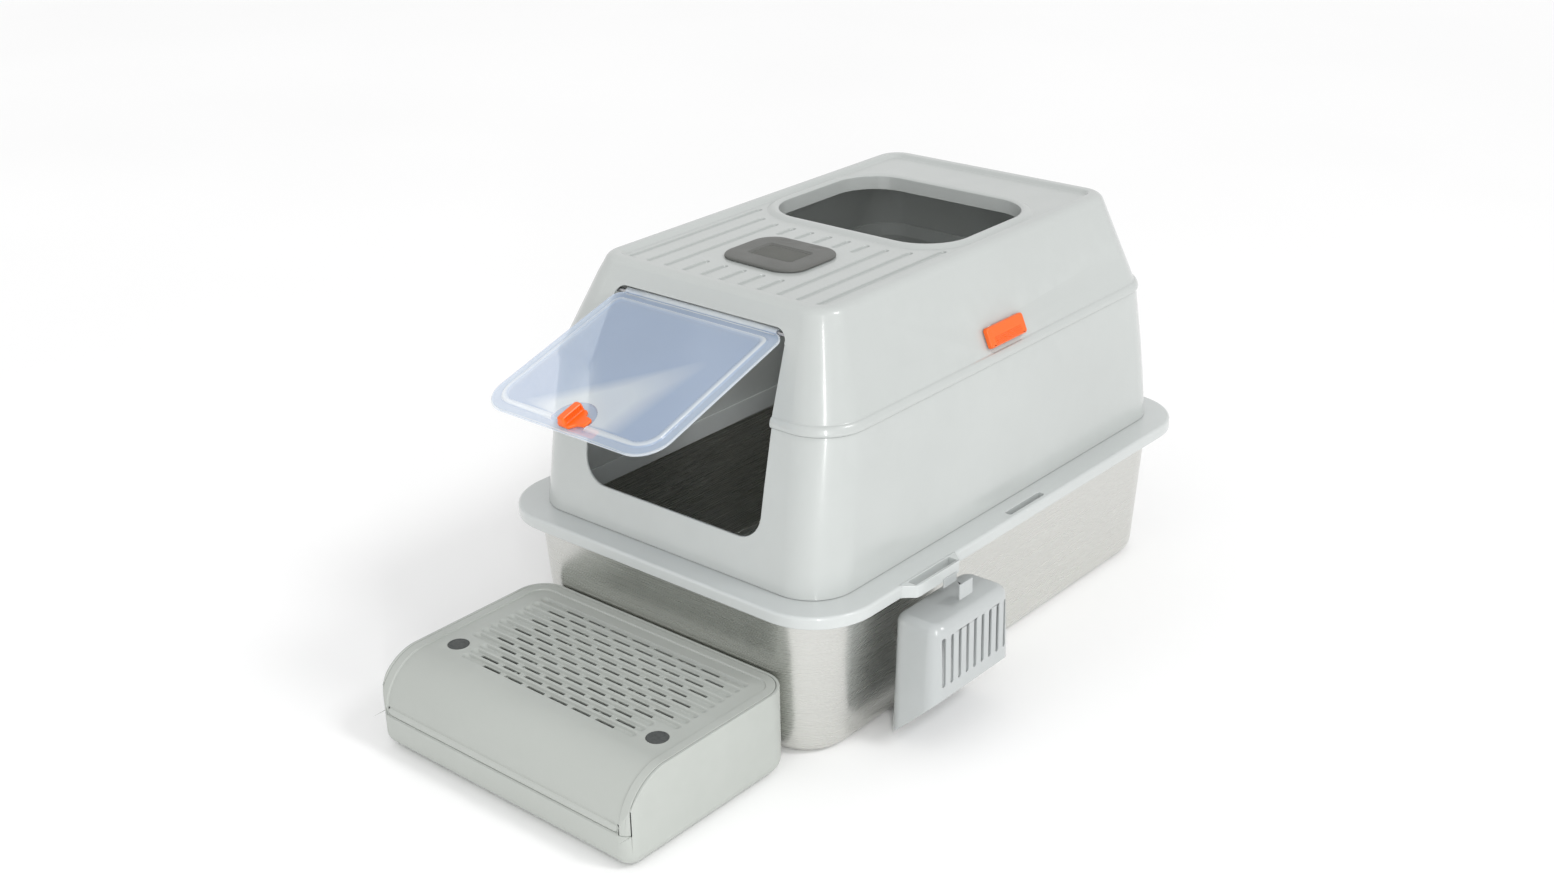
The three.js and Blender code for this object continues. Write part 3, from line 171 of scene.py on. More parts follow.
rim_section = Section(rim_half, rim_front, rim_rear, RIM_CORNER)
hood_foot = rim_section.above(LEDGE_SIDE, LEDGE_FRONT, LEDGE_REAR, HOOD_CORNER)
hood_split = hood_foot.above(HOOD_TAPER, HOOD_RAKE, HOOD_RAKE, HOOD_CORNER)
lid_foot = hood_split.above(BEAD_STEP, BEAD_STEP, BEAD_STEP, HOOD_CORNER)
lid_edge = lid_foot.above(LID_SIDE_RAKE, LID_FRONT_RAKE, LID_REAR_RAKE, LID_CORNER)
hood_levels = ((rim_top, hood_foot), (split, hood_split), (bead_top, lid_foot), (lid_top, lid_edge))
lid_lean = math.atan2(LID_SIDE_RAKE, lid_top - bead_top)
shoulder_turn = math.pi / 2 - lid_lean
shoulder_reach = LID_SHOULDER * math.tan(shoulder_turn / 2)


def hood_at(z):
    for (z0, a), (z1, b) in zip(hood_levels, hood_levels[1:]):
        if z <= z1 + 1e-6:
            return a.mix(b, (z - z0) / (z1 - z0))
    return lid_edge


# ---- Mesh tools ----


def new_object(name, points, faces):
    mesh = bpy.data.meshes.new(name)
    mesh.from_pydata([(x * MM, y * MM, z * MM) for x, y, z in points], [], faces)
    edit = bmesh.new()
    edit.from_mesh(mesh)
    bmesh.ops.recalc_face_normals(edit, faces=edit.faces)
    edit.to_mesh(mesh)
    edit.free()
    piece = bpy.data.objects.new(name, mesh)
    bpy.context.scene.collection.objects.link(piece)
    return piece


def loft(name, rows, ring=False):
    """Skins a stack of closed outlines. A ring joins its last outline to its first."""
    count = len(rows[0])
    points = [point for row in rows for point in row]
    faces = []
    last = len(rows) if ring else len(rows) - 1
    for r in range(last):
        a = r * count
        b = ((r + 1) % len(rows)) * count
        for k in range(count):
            n = (k + 1) % count
            faces.append((a + k, a + n, b + n, b + k))
    if not ring:
        faces.append(tuple(reversed(range(count))))
        top = (len(rows) - 1) * count
        faces.append(tuple(range(top, top + count)))
    return new_object(name, points, faces)


def plate(section, low, high, steps=CORNER_STEPS):
    return loft("plate", [section.outline(low, steps), section.outline(high, steps)])


def block(xs, ys, zs):
    corners = [(xs[0], ys[0]), (xs[1], ys[0]), (xs[1], ys[1]), (xs[0], ys[1])]
    return loft("block", [[(x, y, z) for x, y in corners] for z in zs])


def rounded(corners, steps=8):
    """A polygon of (u, v, radius) corners, each rounded by an arc, as a list of (u, v) points."""
    points = []
    count = len(corners)
    for i, (u, v, radius) in enumerate(corners):
        here = Vector((u, v))
        if radius <= 0:
            points.append((u, v))
            continue
        before = (Vector(corners[i - 1][:2]) - here).normalized()
        after = (Vector(corners[(i + 1) % count][:2]) - here).normalized()
        half_angle = before.angle(after) / 2
        reach = radius / math.tan(half_angle)
        centre = here + (before + after).normalized() * (radius / math.sin(half_angle))
        start = here + before * reach - centre
        end = here + after * reach - centre
        sweep = start.angle_signed(end)
        for k in range(steps + 1):
            arm = start.copy()
            arm.rotate(Matrix.Rotation(-sweep * k / steps, 2))
            points.append(tuple(centre + arm))
    return points


def prism(outline, axis, low, high):
    """Extrudes (u, v) points: along X they are (y, z), along Y (x, z), along Z (x, y)."""
    place = {
        "x": lambda u, v, w: (w, u, v),
        "y": lambda u, v, w: (u, w, v),
        "z": lambda u, v, w: (u, v, w),
    }[axis]
    return loft("prism", [[place(u, v, w) for u, v in outline] for w in (low, high)])


def rounded_box(us, vs, radius, steps):
    """A rounded rectangle that spans us and vs, as a list of (u, v) points."""
    (left, right), (low, high) = us, vs
    corners = ((left, low), (right, low), (right, high), (left, high))
    return rounded([(u, v, radius) for u, v in corners], steps)


def oval(centre, radii, sides):
    points = []
    for k in range(sides):
        angle = 2 * math.pi * k / sides
        points.append((centre[0] + radii[0] * math.cos(angle), centre[1] + radii[1] * math.sin(angle)))
    return points


def quarter(steps):
    """The angles of a quarter turn, both ends included."""
    return [math.pi / 2 * k / steps for k in range(steps + 1)]


def rod(axis, radius, centre, low, high, sides=40):
    return prism(oval(centre, (radius, radius), sides), axis, low, high)


def bake(piece):
    graph = bpy.context.evaluated_depsgraph_get()
    mesh = bpy.data.meshes.new_from_object(piece.evaluated_get(graph))
    old = piece.data
    piece.modifiers.clear()
    piece.data = mesh
    bpy.data.meshes.remove(old)
    return piece


def boolean(piece, others, operation, solver="MANIFOLD"):
    for other in others:
        modifier = piece.modifiers.new("boolean", "BOOLEAN")
        modifier.object = other
        modifier.operation = operation
        modifier.solver = solver
        bake(piece)
        bpy.data.objects.remove(other)
    return piece


def cut(piece, *others):
    return boolean(piece, others, "DIFFERENCE")


def join(piece, *others):
    return boolean(piece, others, "UNION")


def common(piece, *others):
    return boolean(piece, others, "INTERSECT")


def gathered(pieces):
    """One object of many separate closed bodies, to cut them all at once."""
    edit = bmesh.new()
    for piece in pieces:
        edit.from_mesh(piece.data)
        bpy.data.objects.remove(piece)
    mesh = bpy.data.meshes.new("gathered")
    edit.to_mesh(mesh)
    edit.free()
    made = bpy.data.objects.new("gathered", mesh)
    bpy.context.scene.collection.objects.link(made)
    return made


def moved(piece, matrix):
    piece.data.transform(matrix)
    if matrix.determinant() < 0:
        piece.data.flip_normals()
    return piece


def cleaned(piece):
    edit = bmesh.new()
    edit.from_mesh(piece.data)
    bmesh.ops.remove_doubles(edit, verts=edit.verts, dist=0.02 * MM)
    bmesh.ops.dissolve_degenerate(edit, edges=edit.edges, dist=0.01 * MM)
    bmesh.ops.dissolve_limit(edit, angle_limit=math.radians(0.6), verts=edit.verts, edges=edit.edges)
    edit.to_mesh(piece.data)
    edit.free()
    return piece


def round_edges(piece, width, segments=2, angle=32):
    """Rounds every edge sharper than the angle."""
    cleaned(piece)
    bevel = piece.modifiers.new("bevel", "BEVEL")
    bevel.width = width * MM
    bevel.segments = segments
    bevel.limit_method = "ANGLE"
    bevel.angle_limit = math.radians(angle)
    bevel.use_clamp_overlap = False
    bevel.miter_outer = "MITER_ARC"
    return bake(piece)


def smooth(piece, angle=40):
    """Smooth, area-weighted normals, with a crease wherever the surface turns sharply."""
    piece.data.shade_smooth()
    piece.data.set_sharp_from_angle(angle=math.radians(angle))
    weighted = piece.modifiers.new("weighted", "WEIGHTED_NORMAL")
    weighted.keep_sharp = True
    return bake(piece)


def soften(piece, width, segments=2, angle=32):
    return smooth(round_edges(piece, width, segments, angle), 60)


def finish_piece(piece, name, body, material, replaces=()):
    piece.name = name
    piece.data.name = name
    piece.data.materials.clear()
    piece.data.materials.append(material)
    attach(piece, body)
    if replaces:
        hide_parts(*replaces)
    return piece


# ---- Materials ----


def srgb(r, g, b):
    """An sRGB colour, 0 to 255, in Blender's linear numbers."""
    return tuple(((c / 255 + 0.055) / 1.055) ** 2.4 if c > 10 else c / 3294.6 for c in (r, g, b)) + (1.0,)


def scaled(colour, by):
    return tuple(min(1.0, c * by) for c in colour[:3]) + (1.0,)


class Nodes:
    """A material's node tree, with short ways to add what every finish needs."""

    def __init__(self, name):
        self.material = bpy.data.materials.new(name)
        self.material.use_nodes = True
        self.tree = self.material.node_tree
        self.shader = self.tree.nodes["Principled BSDF"]
        self.place = self.tree.nodes.new("ShaderNodeTexCoord").outputs["Object"]

    def add(self, kind, **settings):
        node = self.tree.nodes.new(kind)
        for key, value in settings.items():
            if isinstance(value, bpy.types.NodeSocket):
                self.tree.links.new(value, node.inputs[key])
            elif key in node.inputs:
                node.inputs[key].default_value = value
            else:
                setattr(node, key, value)
        return node

    def link(self, output, key):
        self.tree.links.new(output, self.shader.inputs[key])

    def noise(self, scale, detail=3.0, stretch=None, rough=0.5):
        place = self.place
        if stretch:
            mapping = self.add("ShaderNodeMapping", Vector=place, Scale=stretch)
            place = mapping.outputs["Vector"]
        node = self.add("ShaderNodeTexNoise", Vector=place, Scale=scale, Detail=detail, Roughness=rough)
        return node.outputs["Fac"]

    def ranged(self, value, low, high, from_low=0.3, from_high=0.7):
        node = self.add("ShaderNodeMapRange", Value=value)
        node.inputs["From Min"].default_value = from_low
        node.inputs["From Max"].default_value = from_high
        node.inputs["To Min"].default_value = low
        node.inputs["To Max"].default_value = high
        return node.outputs["Result"]

    def mixed(self, factor, a, b, blend="MIX"):
        node = self.tree.nodes.new("ShaderNodeMix")
        node.data_type = "RGBA"
        node.blend_type = blend
        for key, value in (("Factor_Float", factor), ("A_Color", a), ("B_Color", b)):
            socket = next(s for s in node.inputs if s.identifier == key)
            if isinstance(value, bpy.types.NodeSocket):
                self.tree.links.new(value, socket)
            else:
                socket.default_value = value
        return next(s for s in node.outputs if s.identifier == "Result_Color")

    def bump(self, height, strength, distance, normal=None):
        node = self.add("ShaderNodeBump", Height=height, Strength=strength, Distance=distance)
        if normal:
            self.tree.links.new(normal, node.inputs["Normal"])
        return node.outputs["Normal"]


def moulded(name, colour, rough=(0.29, 0.4), grain=0.12, shade=0.035, wear=0.5, coat=0.7):
    """Moulded plastic: a faint cloud in the colour, fine grain, uneven gloss and pale handled edges."""
    m = Nodes(name)
    cloud = m.noise(5.0, 4.0)
    tone = m.mixed(m.ranged(cloud, 0.0, 1.0), scaled(colour, 1 - shade), scaled(colour, 1 + shade))
    edge = m.add("ShaderNodeNewGeometry").outputs["Pointiness"]
    worn = m.ranged(edge, 0.0, wear, 0.505, 0.56)
    patchy = m.ranged(m.noise(60.0, 3.0), 0.2, 1.0)
    wear_mask = m.add("ShaderNodeMath", operation="MULTIPLY")
    m.tree.links.new(worn, wear_mask.inputs[0])
    m.tree.links.new(patchy, wear_mask.inputs[1])
    tone = m.mixed(wear_mask.outputs["Value"], tone, scaled(colour, 1.12))
    dust = m.ranged(m.noise(240.0, 5.0, rough=0.7), 0.0, 0.05, 0.56, 0.75)
    tone = m.mixed(dust, tone, srgb(150, 146, 138))
    m.link(tone, "Base Color")
    m.link(m.ranged(m.noise(38.0, 5.0), rough[0], rough[1]), "Roughness")
    fine = m.bump(m.noise(1600.0, 2.0), grain, 0.0003)
    m.link(m.bump(m.noise(9.0, 2.0), 0.05, 0.004, fine), "Normal")
    m.shader.inputs["IOR"].default_value = 1.49
    m.shader.inputs["Specular IOR Level"].default_value = 0.5
    m.shader.inputs["Coat Weight"].default_value = coat
    m.shader.inputs["Coat Roughness"].default_value = 0.14
    return m.material


def brushed_steel(name, colour, rough=(0.2, 0.34), across=(6.0, 6.0, 1400.0)):
    m = Nodes(name)
    lines = m.noise(1.0, 4.0, stretch=across, rough=0.65)
    cloud = m.noise(4.0, 3.0)
    tone = m.mixed(m.ranged(lines, 0.0, 1.0), scaled(colour, 0.965), scaled(colour, 1.02))
    tone = m.mixed(m.ranged(cloud, 0.0, 0.3), tone, scaled(colour, 0.92))
    m.link(tone, "Base Color")
    m.link(m.ranged(lines, rough[0], rough[1]), "Roughness")
    m.link(m.bump(lines, 0.015, 0.0002, m.bump(cloud, 0.02, 0.003)), "Normal")
    m.shader.inputs["Metallic"].default_value = 1.0
    return m.material


def clear_flap(name):
    """Milky blue translucent sheet: part see-through, glossy, with fine scratches and a painted highlight
    that whitens its ridges and edges.
    """
    m = Nodes(name)
    colour = srgb(178, 197, 224)
    cloud = m.noise(7.0, 3.0)
    tone = m.mixed(m.ranged(cloud, 0.0, 1.0), scaled(colour, 0.96), scaled(colour, 1.03))
    # Painted highlight: ridges and sharp edges are mixed towards near white, standing in for the light they
    # catch.
    ridge_highlight = m.ranged(m.add("ShaderNodeNewGeometry").outputs["Pointiness"], 0.0, 1.0, 0.503, 0.53)
    m.link(m.mixed(ridge_highlight, tone, srgb(236, 243, 248)), "Base Color")
    scratches = m.noise(30.0, 6.0, stretch=(1.0, 9.0, 1.0), rough=0.75)
    m.link(m.ranged(scratches, 0.07, 0.2), "Roughness")
    m.link(m.bump(m.noise(700.0, 2.0), 0.03, 0.0003, m.bump(cloud, 0.08, 0.004)), "Normal")
    m.shader.inputs["Alpha"].default_value = 0.45
    m.shader.inputs["IOR"].default_value = 1.5
    m.shader.inputs["Coat Weight"].default_value = 0.6
    m.shader.inputs["Coat Roughness"].default_value = 0.05
    return m.material


def rubber(name, colour):
    m = Nodes(name)
    speck = m.noise(420.0, 5.0, rough=0.7)
    m.link(m.mixed(m.ranged(speck, 0.0, 1.0), scaled(colour, 0.75), scaled(colour, 1.3)), "Base Color")
    m.link(m.ranged(m.noise(90.0, 4.0), 0.62, 0.85), "Roughness")
    m.link(m.bump(speck, 0.25, 0.0004), "Normal")
    return m.material


def felt(name):
    m = Nodes(name)
    fibre = m.noise(520.0, 8.0, stretch=(1.0, 1.0, 3.0), rough=0.85)
    m.link(m.mixed(m.ranged(fibre, 0.0, 1.0), srgb(18, 18, 19), srgb(66, 65, 63)), "Base Color")
    m.link(m.bump(fibre, 0.9, 0.0012), "Normal")
    m.link(m.ranged(fibre, 0.85, 1.0), "Roughness")
    m.shader.inputs["Sheen Weight"].default_value = 0.4
    return m.material


shell_look = moulded("shell_plastic", srgb(183, 187, 185))
# Painted light: the rim is the hood's plastic in a lighter colour, standing in for the light on its
# upward-facing top.
rim_lit_look = moulded("rim_plastic_lit", srgb(194, 198, 197))
step_look = moulded("step_plastic", srgb(176, 180, 175), rough=(0.42, 0.56), grain=0.2, coat=0.2)
scoop_look = moulded("scoop_plastic", srgb(176, 180, 180))
orange_look = moulded("orange_plastic", srgb(240, 100, 14), rough=(0.34, 0.46), wear=0.25, coat=0.2)
grey_look = moulded("grey_plastic", srgb(98, 99, 96), rough=(0.45, 0.6), grain=0.3, coat=0.1)
mesh_look = moulded("mesh_plastic", srgb(118, 119, 115), rough=(0.5, 0.65), grain=0.2, coat=0.0)
steel_look = brushed_steel("steel", srgb(213, 213, 209), rough=(0.24, 0.31))
pin_look = brushed_steel("pin_steel", srgb(190, 190, 192), across=(900.0, 40.0, 40.0))
flap_look = clear_flap("flap_plastic")
plug_look = rubber("plug_rubber", srgb(74, 77, 76))
foot_look = rubber("foot_rubber", srgb(60, 61, 60))
felt_look = felt("charcoal_felt")

# ---- Pan and rim ----

pan_top = pan_high.z
pan_wall = rim_section.above(PAN_SIDE_INSET, PAN_END_INSET, PAN_END_INSET, PAN_CORNER)


def pan_at(z, come):
    return pan_wall.inset(PAN_DRAFT * (1 - z / pan_top) + come).outline(z, 20)


def make_pan():
    floor = []
    for angle in quarter(8):
        floor.append((PAN_FLOOR_ROUND * (1 - math.cos(angle)), PAN_FLOOR_ROUND * (1 - math.sin(angle))))
    wall = [40 + k * (pan_top - 44) / 4 for k in range(4)]
    rows = [pan_at(z, come) for z, come in floor]
    rows += [pan_at(z, 0) for z in wall]
    rows += [pan_at(pan_top - 2.5, 0), pan_at(pan_top - 1.3, -0.4), pan_at(pan_top - 1, -1.4)]
    out = PAN_ROLL
    rows += [pan_at(pan_top - 1, 1.6 - out), pan_at(pan_top - 1.4, 1.1 - out), pan_at(pan_top - 4, 1 - out)]
    rows += [pan_at(pan_top - 4, -out), pan_at(pan_top - 1.4, -out), pan_at(pan_top - 0.5, 0.5 - out)]
    rows += [pan_at(pan_top, 1.6 - out), pan_at(pan_top, -1.2), pan_at(pan_top - 0.5, 0.4)]
    rows += [pan_at(pan_top - 2.5, PAN_SHEET)]
    rows += [pan_at(z, PAN_SHEET) for z in reversed(wall)]
    rows += [pan_at(z + PAN_SHEET, come + PAN_SHEET) for z, come in reversed(floor)]
    return smooth(loft("pan", rows))


finish_piece(make_pan(), "pan_shell", "pan", steel_look, ("steel_pan",))

SCOOP_Y = (handle_low.y + handle_high.y) / 2
CLIP_Y = (clip_low.y + clip_high.y) / 2
CLIP_HALF = (clip_high.y - clip_low.y) / 2
CLIP_POCKET_WALL = 1.2
BRACKET_AHEAD = 48
BRACKET_LENGTH = 66


def make_rim():
    lip = hood_at(rim_top + RIM_LIP_UP).inset(WALL + SLIDE_GAP)
    inner = lip.inset(WALL)
    lip_bottom = rim_plate_under - 14
    rows = [rim_section.inset(0.8).outline(skirt_bottom), rim_section.inset(0.2).outline(skirt_bottom + 0.3)]
    rows += [rim_section.outline(skirt_bottom + 0.9)]
    for angle in quarter(6):
        come = RIM_ROUND * (1 - math.cos(angle))
        rows.append(rim_section.inset(come).outline(rim_top - RIM_ROUND + RIM_ROUND * math.sin(angle)))
    rows += [lip.outline(rim_top), lip.outline(rim_top + RIM_LIP_UP), inner.outline(rim_top + RIM_LIP_UP)]
    rows += [inner.outline(lip_bottom), lip.outline(lip_bottom), lip.outline(rim_plate_under)]
    rows += [rim_section.inset(WALL).outline(rim_plate_under), rim_section.inset(WALL).outline(skirt_bottom)]
    rim = loft("rim", rows, ring=True)
    front = SCOOP_Y - BRACKET_AHEAD
    rear = front + BRACKET_LENGTH
    out = rim_high.x
    tab = rounded([
        (rim_half - WALL, front - 7, 0), (rim_half - 0.5, front - 7, 3),
        (out - 0.5, front + 2, 5), (out, front + 8, 3),
        (out, rear - 8, 3), (out - 0.5, rear - 2, 5),
        (rim_half - 0.5, rear + 7, 3), (rim_half - WALL, rear + 7, 0),
    ], 6)
    bracket = prism(tab, "z", skirt_bottom, rim_top)
    slot = block((rim_half - 1, out - 3), (front + 3, rear - 3), (skirt_bottom - 1, rim_top + 1))
    join(rim, bracket)
    clip_pockets = []
    clip_slots = []
    for side in (-1, 1):
        x = side * (rim_half - SLOT_EDGE - SLOT_WIDTH / 2)
        ends = (CLIP_Y - CLIP_HALF - CLIP_POCKET_WALL, CLIP_Y + CLIP_HALF + CLIP_POCKET_WALL)
        reach = SLOT_WIDTH / 2 + CLIP_POCKET_WALL
        clip_pockets.append(block((x - reach, x + reach), ends, (skirt_bottom + 0.5, rim_top - 1)))
        shape = rounded_box(
            (-SLOT_WIDTH / 2, SLOT_WIDTH / 2), (CLIP_Y - CLIP_HALF, CLIP_Y + CLIP_HALF), 2, 5
        )
        outline = [(u + x, v) for u, v in shape]
        clip_slots.append(prism(outline, "z", skirt_bottom + 0.5 + CLIP_POCKET_WALL, rim_top + 1))
    join(rim, *clip_pockets)
    cut(rim, slot, *clip_slots)
    return soften(rim, 0.5)


finish_piece(make_rim(), "rim_ring", "rim", rim_lit_look, ("rim_frame",))

# ---- Hood ----

ENTRY_JAMB = 34.5
ENTRY_HEADER = 19.7
ENTRY_BULGE = 8.5
ENTRY_SPREAD = 5
SILL_ABOVE_RIM = 39
ENTRY_CUT_FRONT = -400.0
ENTRY_CUT_REAR = -190.0

entry_top = lid_top - ENTRY_HEADER
sill = rim_top + SILL_ABOVE_RIM
entry_half = lid_edge.half - ENTRY_JAMB


def entry_cutter():
    shape = rounded([
        (-entry_half, entry_top, 13), (-entry_half - ENTRY_BULGE, split, 0),
        (-entry_half - ENTRY_SPREAD, sill, 25), (entry_half + ENTRY_SPREAD, sill, 25),
        (entry_half + ENTRY_BULGE, split, 0), (entry_half, entry_top, 13),
    ], 12)
    return prism(shape, "y", ENTRY_CUT_FRONT, ENTRY_CUT_REAR)


def make_lower_hood():
    base = rim_top + FIT_GAP
    top = split - FIT_GAP
    tongue = WALL + SLIDE_GAP
    steps = 8
    rows = []
    for k in range(steps + 1):
        t = k / steps
        z = base + (top - base) * t
        rows.append(hood_at(z).inset(-HOOD_BULGE * math.sin(math.pi * t)).outline(z))
    rows += [hood_at(top).inset(tongue).outline(top), hood_at(top).inset(tongue).outline(top + TONGUE)]
    rows += [hood_at(top).inset(tongue + WALL).outline(top + TONGUE)]
    rows += [hood_at(top).inset(tongue + WALL).outline(top - 8)]
    for k in reversed(range(steps)):
        t = k / steps
        z = base + (top - base) * t
        rows.append(hood_at(z).inset(WALL - HOOD_BULGE * math.sin(math.pi * t)).outline(z))
    hood = loft("lower", rows, ring=True)
    cut(hood, entry_cutter())
    return soften(hood, 0.7)


finish_piece(make_lower_hood(), "hood_wall", "lower", shell_look, ("lower_hood",))

GROOVE_PITCH = 22
GROOVE_WIDTH = 6.5
GROOVE_FRONT_MARGIN = 10
GROOVE_END_MARGIN = 9
GROOVE_SIDE_MARGIN = 6
HOLE_SIDE_MARGIN = 28.5
HOLE_REAR_MARGIN = 82.6
HOLE_LENGTH = 167
HOLE_CORNER = 45
HOLE_LIP_WIDTH = 12
HOLE_LIP_RISE = 3.2
HOLE_LIP_DROP = 12

hole_half = lid_edge.half - HOLE_SIDE_MARGIN
hole_rear = lid_edge.rear - HOLE_REAR_MARGIN
hole_front = hole_rear - HOLE_LENGTH
filter_y = (filter_low.y + filter_high.y) / 2
filter_x = filter_high.x
hinge_y = joints["flap_swing"]["pos_m"][1] / MM
hinge_z = joints["flap_swing"]["pos_m"][2] / MM

CLIP_DROP = 19.5  # from a clip's top edge to its lower edge
CLIP_ABOVE_BEAD = 4
CLIP_AXIS_X = 3.0
CLIP_AXIS_Z = -2.4
CLIP_EAR_Y = 16
CLIP_PIN_BORE = 1.5
CLIP_EAR_ROUND = 2.4
HINGE_PIN_BORE = 2.3

clip_top = bead_top + CLIP_ABOVE_BEAD + CLIP_DROP * math.cos(lid_lean)


def lid_side(side):
    """Moves a shape made against a wall at x = 0 onto the lid's side wall, at the clip's place."""
    place = Matrix.Translation(Vector((side * hood_at(clip_top).half, CLIP_Y, clip_top)) * MM)
    turn = Matrix.Rotation(-side * lid_lean, 4, "Y")
    return place @ turn @ Matrix.Diagonal((side, 1, 1, 1))


def groove(x, front, rear):
    """A round-ended trough sunk in the panel."""
    half = GROOVE_WIDTH / 2
    section = Section(half, front, rear, half * 0.98)
    rows = []
    slope = ((-1.0, -0.5), (-0.5, 0), (-0.1, 0.2), (0.2, 0.6), (0.35, 1.5), (0.7, 2.2), (1.6, 2.5))
    for come, depth in slope:
        rows.append([(px + x, py, pz) for px, py, pz in section.inset(come).outline(panel_top - depth, 6)])
    return loft("groove", rows)


def lip_front(x):
    half = hole_half + HOLE_LIP_WIDTH
    radius = HOLE_CORNER + HOLE_LIP_WIDTH
    into = max(0.0, abs(x) - (half - radius))
    return hole_front - HOLE_LIP_WIDTH + radius - math.sqrt(radius * radius - into * into)


def make_grooves():
    panel_half = lid_edge.half - shoulder_reach - LID_BORDER - PANEL_DEPTH
    each_side = int((panel_half - GROOVE_SIDE_MARGIN) // GROOVE_PITCH)
    front = lid_edge.front + LID_BORDER + PANEL_DEPTH + GROOVE_FRONT_MARGIN
    made = []
    for k in range(-each_side, each_side + 1):
        x = k * GROOVE_PITCH
        rear = lip_front(x) - GROOVE_END_MARGIN
        if abs(x) < filter_x + GROOVE_WIDTH:
            made.append(groove(x, front, filter_low.y - GROOVE_END_MARGIN))
            made.append(groove(x, filter_high.y + GROOVE_END_MARGIN, rear))
        else:
            made.append(groove(x, front, rear))
    return gathered(made)


def make_lid():
    base = split + FIT_GAP
    rows = []
    for k in range(17):
        t = k / 16
        z = base + (bead_top - base) * t
        # The bead starts part of the way up its curve and ends flush with the lid's wall.
        proud = BEAD_PROUD * math.sin(math.pi * (0.12 + 0.88 * t)) ** 0.45 if k < 16 else 0.0
        rows.append(hood_at(z).inset(-proud).outline(z))
    for k in range(1, 5):
        z = bead_top + (lid_top - LID_SHOULDER - 6 - bead_top) * k / 4
        rows.append(hood_at(z).outline(z))
    for k in range(9):
        angle = shoulder_turn * (1 - k / 8)
        come = shoulder_reach - LID_SHOULDER * math.sin(angle)
        rows.append(lid_edge.inset(come).outline(lid_top - LID_SHOULDER + LID_SHOULDER * math.cos(angle)))
    edge = shoulder_reach + LID_BORDER
    for k in range(9):
        t = k / 8
        drop = PANEL_DEPTH * (0.5 - 0.5 * math.cos(math.pi * t))
        rows.append(lid_edge.inset(edge - 1.5 + 5.5 * t).outline(lid_top - drop))
    lid = loft("lid", rows)
    inner_top = lid_top - LID_SHOULDER
    cavity = loft("cavity", [
        [(x, y, base - 5) for x, y, z in hood_at(base).inset(WALL).outline(base)],
        hood_at(base).inset(WALL).outline(base),
        lid_foot.inset(WALL).outline(bead_top),
        hood_at(inner_top).inset(WALL).outline(inner_top),
        lid_edge.inset(shoulder_reach).outline(panel_top - PANEL_SHEET),
    ])
    cut(lid, cavity, entry_cutter())
    hole = centred(2 * hole_half, HOLE_LENGTH, HOLE_CORNER, (hole_front + hole_rear) / 2)
    lip_rows = [hole.inset(-WALL).outline(panel_top - HOLE_LIP_DROP, 20)]
    lip_rows += [hole.inset(-WALL).outline(panel_top - WALL, 20)]
    lip_rows += [hole.inset(-HOLE_LIP_WIDTH).outline(panel_top - WALL / 2, 20)]
    for k in range(13):
        t = k / 12
        rise = HOLE_LIP_RISE * math.sin(math.pi * t * 0.78) ** 1.2 if t < 0.99 else HOLE_LIP_RISE * 0.55
        lip_rows.append(hole.inset(-HOLE_LIP_WIDTH * (1 - t)).outline(panel_top + rise - 0.02, 20))
    lip = loft("lip", lip_rows)
    hole_cut = plate(hole, panel_top - HOLE_LIP_DROP - 1, panel_top + HOLE_LIP_RISE + 1, 20)
    tray_low, tray_high = cad("filter_tray")
    tray = centred(tray_high.x * 2 + 1, tray_high.y - tray_low.y + 1, 4.5, filter_y)
    lugs = []
    for side in (-1, 1):
        inner = side * (entry_half + SLIDE_GAP)
        xs = sorted((inner, inner + side * 6))
        lug = block(xs, (hinge_y - 8, hinge_y + 5), (hinge_z - 5, hinge_z + 5))
        lugs.append(lug)
    lug_pair = gathered(lugs)
    shell_rows = [hood_at(z).outline(z) for z in (bead_top, lid_top - LID_SHOULDER)]
    common(lug_pair, loft("shell", shell_rows))
    bore_end = entry_half + 12
    join(lid, lip, lug_pair)
    cut(lid, hole_cut, plate(tray, panel_top - PANEL_SHEET - 1, panel_top + 1, 6))
    cut(lid, rod("x", HINGE_PIN_BORE, (hinge_y, hinge_z), -bore_end, bore_end))
    ears = []
    for side in (-1, 1):
        for end in (-1, 1):
            y = end * CLIP_EAR_Y
            heights = (CLIP_AXIS_Z - CLIP_EAR_ROUND, CLIP_AXIS_Z + CLIP_EAR_ROUND)
            neck = block((-WALL / 2, CLIP_AXIS_X), (y - 2.5, y + 2.5), heights)
            eye = rod("y", CLIP_EAR_ROUND, (CLIP_AXIS_X, CLIP_AXIS_Z), y - 2.5, y + 2.5, 24)
            ear = join(neck, eye)
            cut(ear, rod("y", CLIP_PIN_BORE, (CLIP_AXIS_X, CLIP_AXIS_Z), y - 4, y + 4, 24))
            ears.append(moved(ear, lid_side(side)))
        thumb = loft("thumb", [
            [(x, u, v) for u, v in rounded_box((-w, w), (-24.5, -10), r, 8)]
            for x, w, r in ((1.0, 25.5, 4.0), (0.0, 24.5, 3.8), (-0.7, 23.3, 3.4), (-1.1, 21.8, 3.0))
        ])
        cut(lid, moved(thumb, lid_side(side)))
    join(lid, gathered(ears))
    round_edges(lid, 0.5)
    boolean(lid, [make_grooves()], "DIFFERENCE", "EXACT")
    return smooth(lid)


finish_piece(make_lid(), "lid_shell", "lid", shell_look, ("hood_lid",))

# ---- Entry flap and latch ----

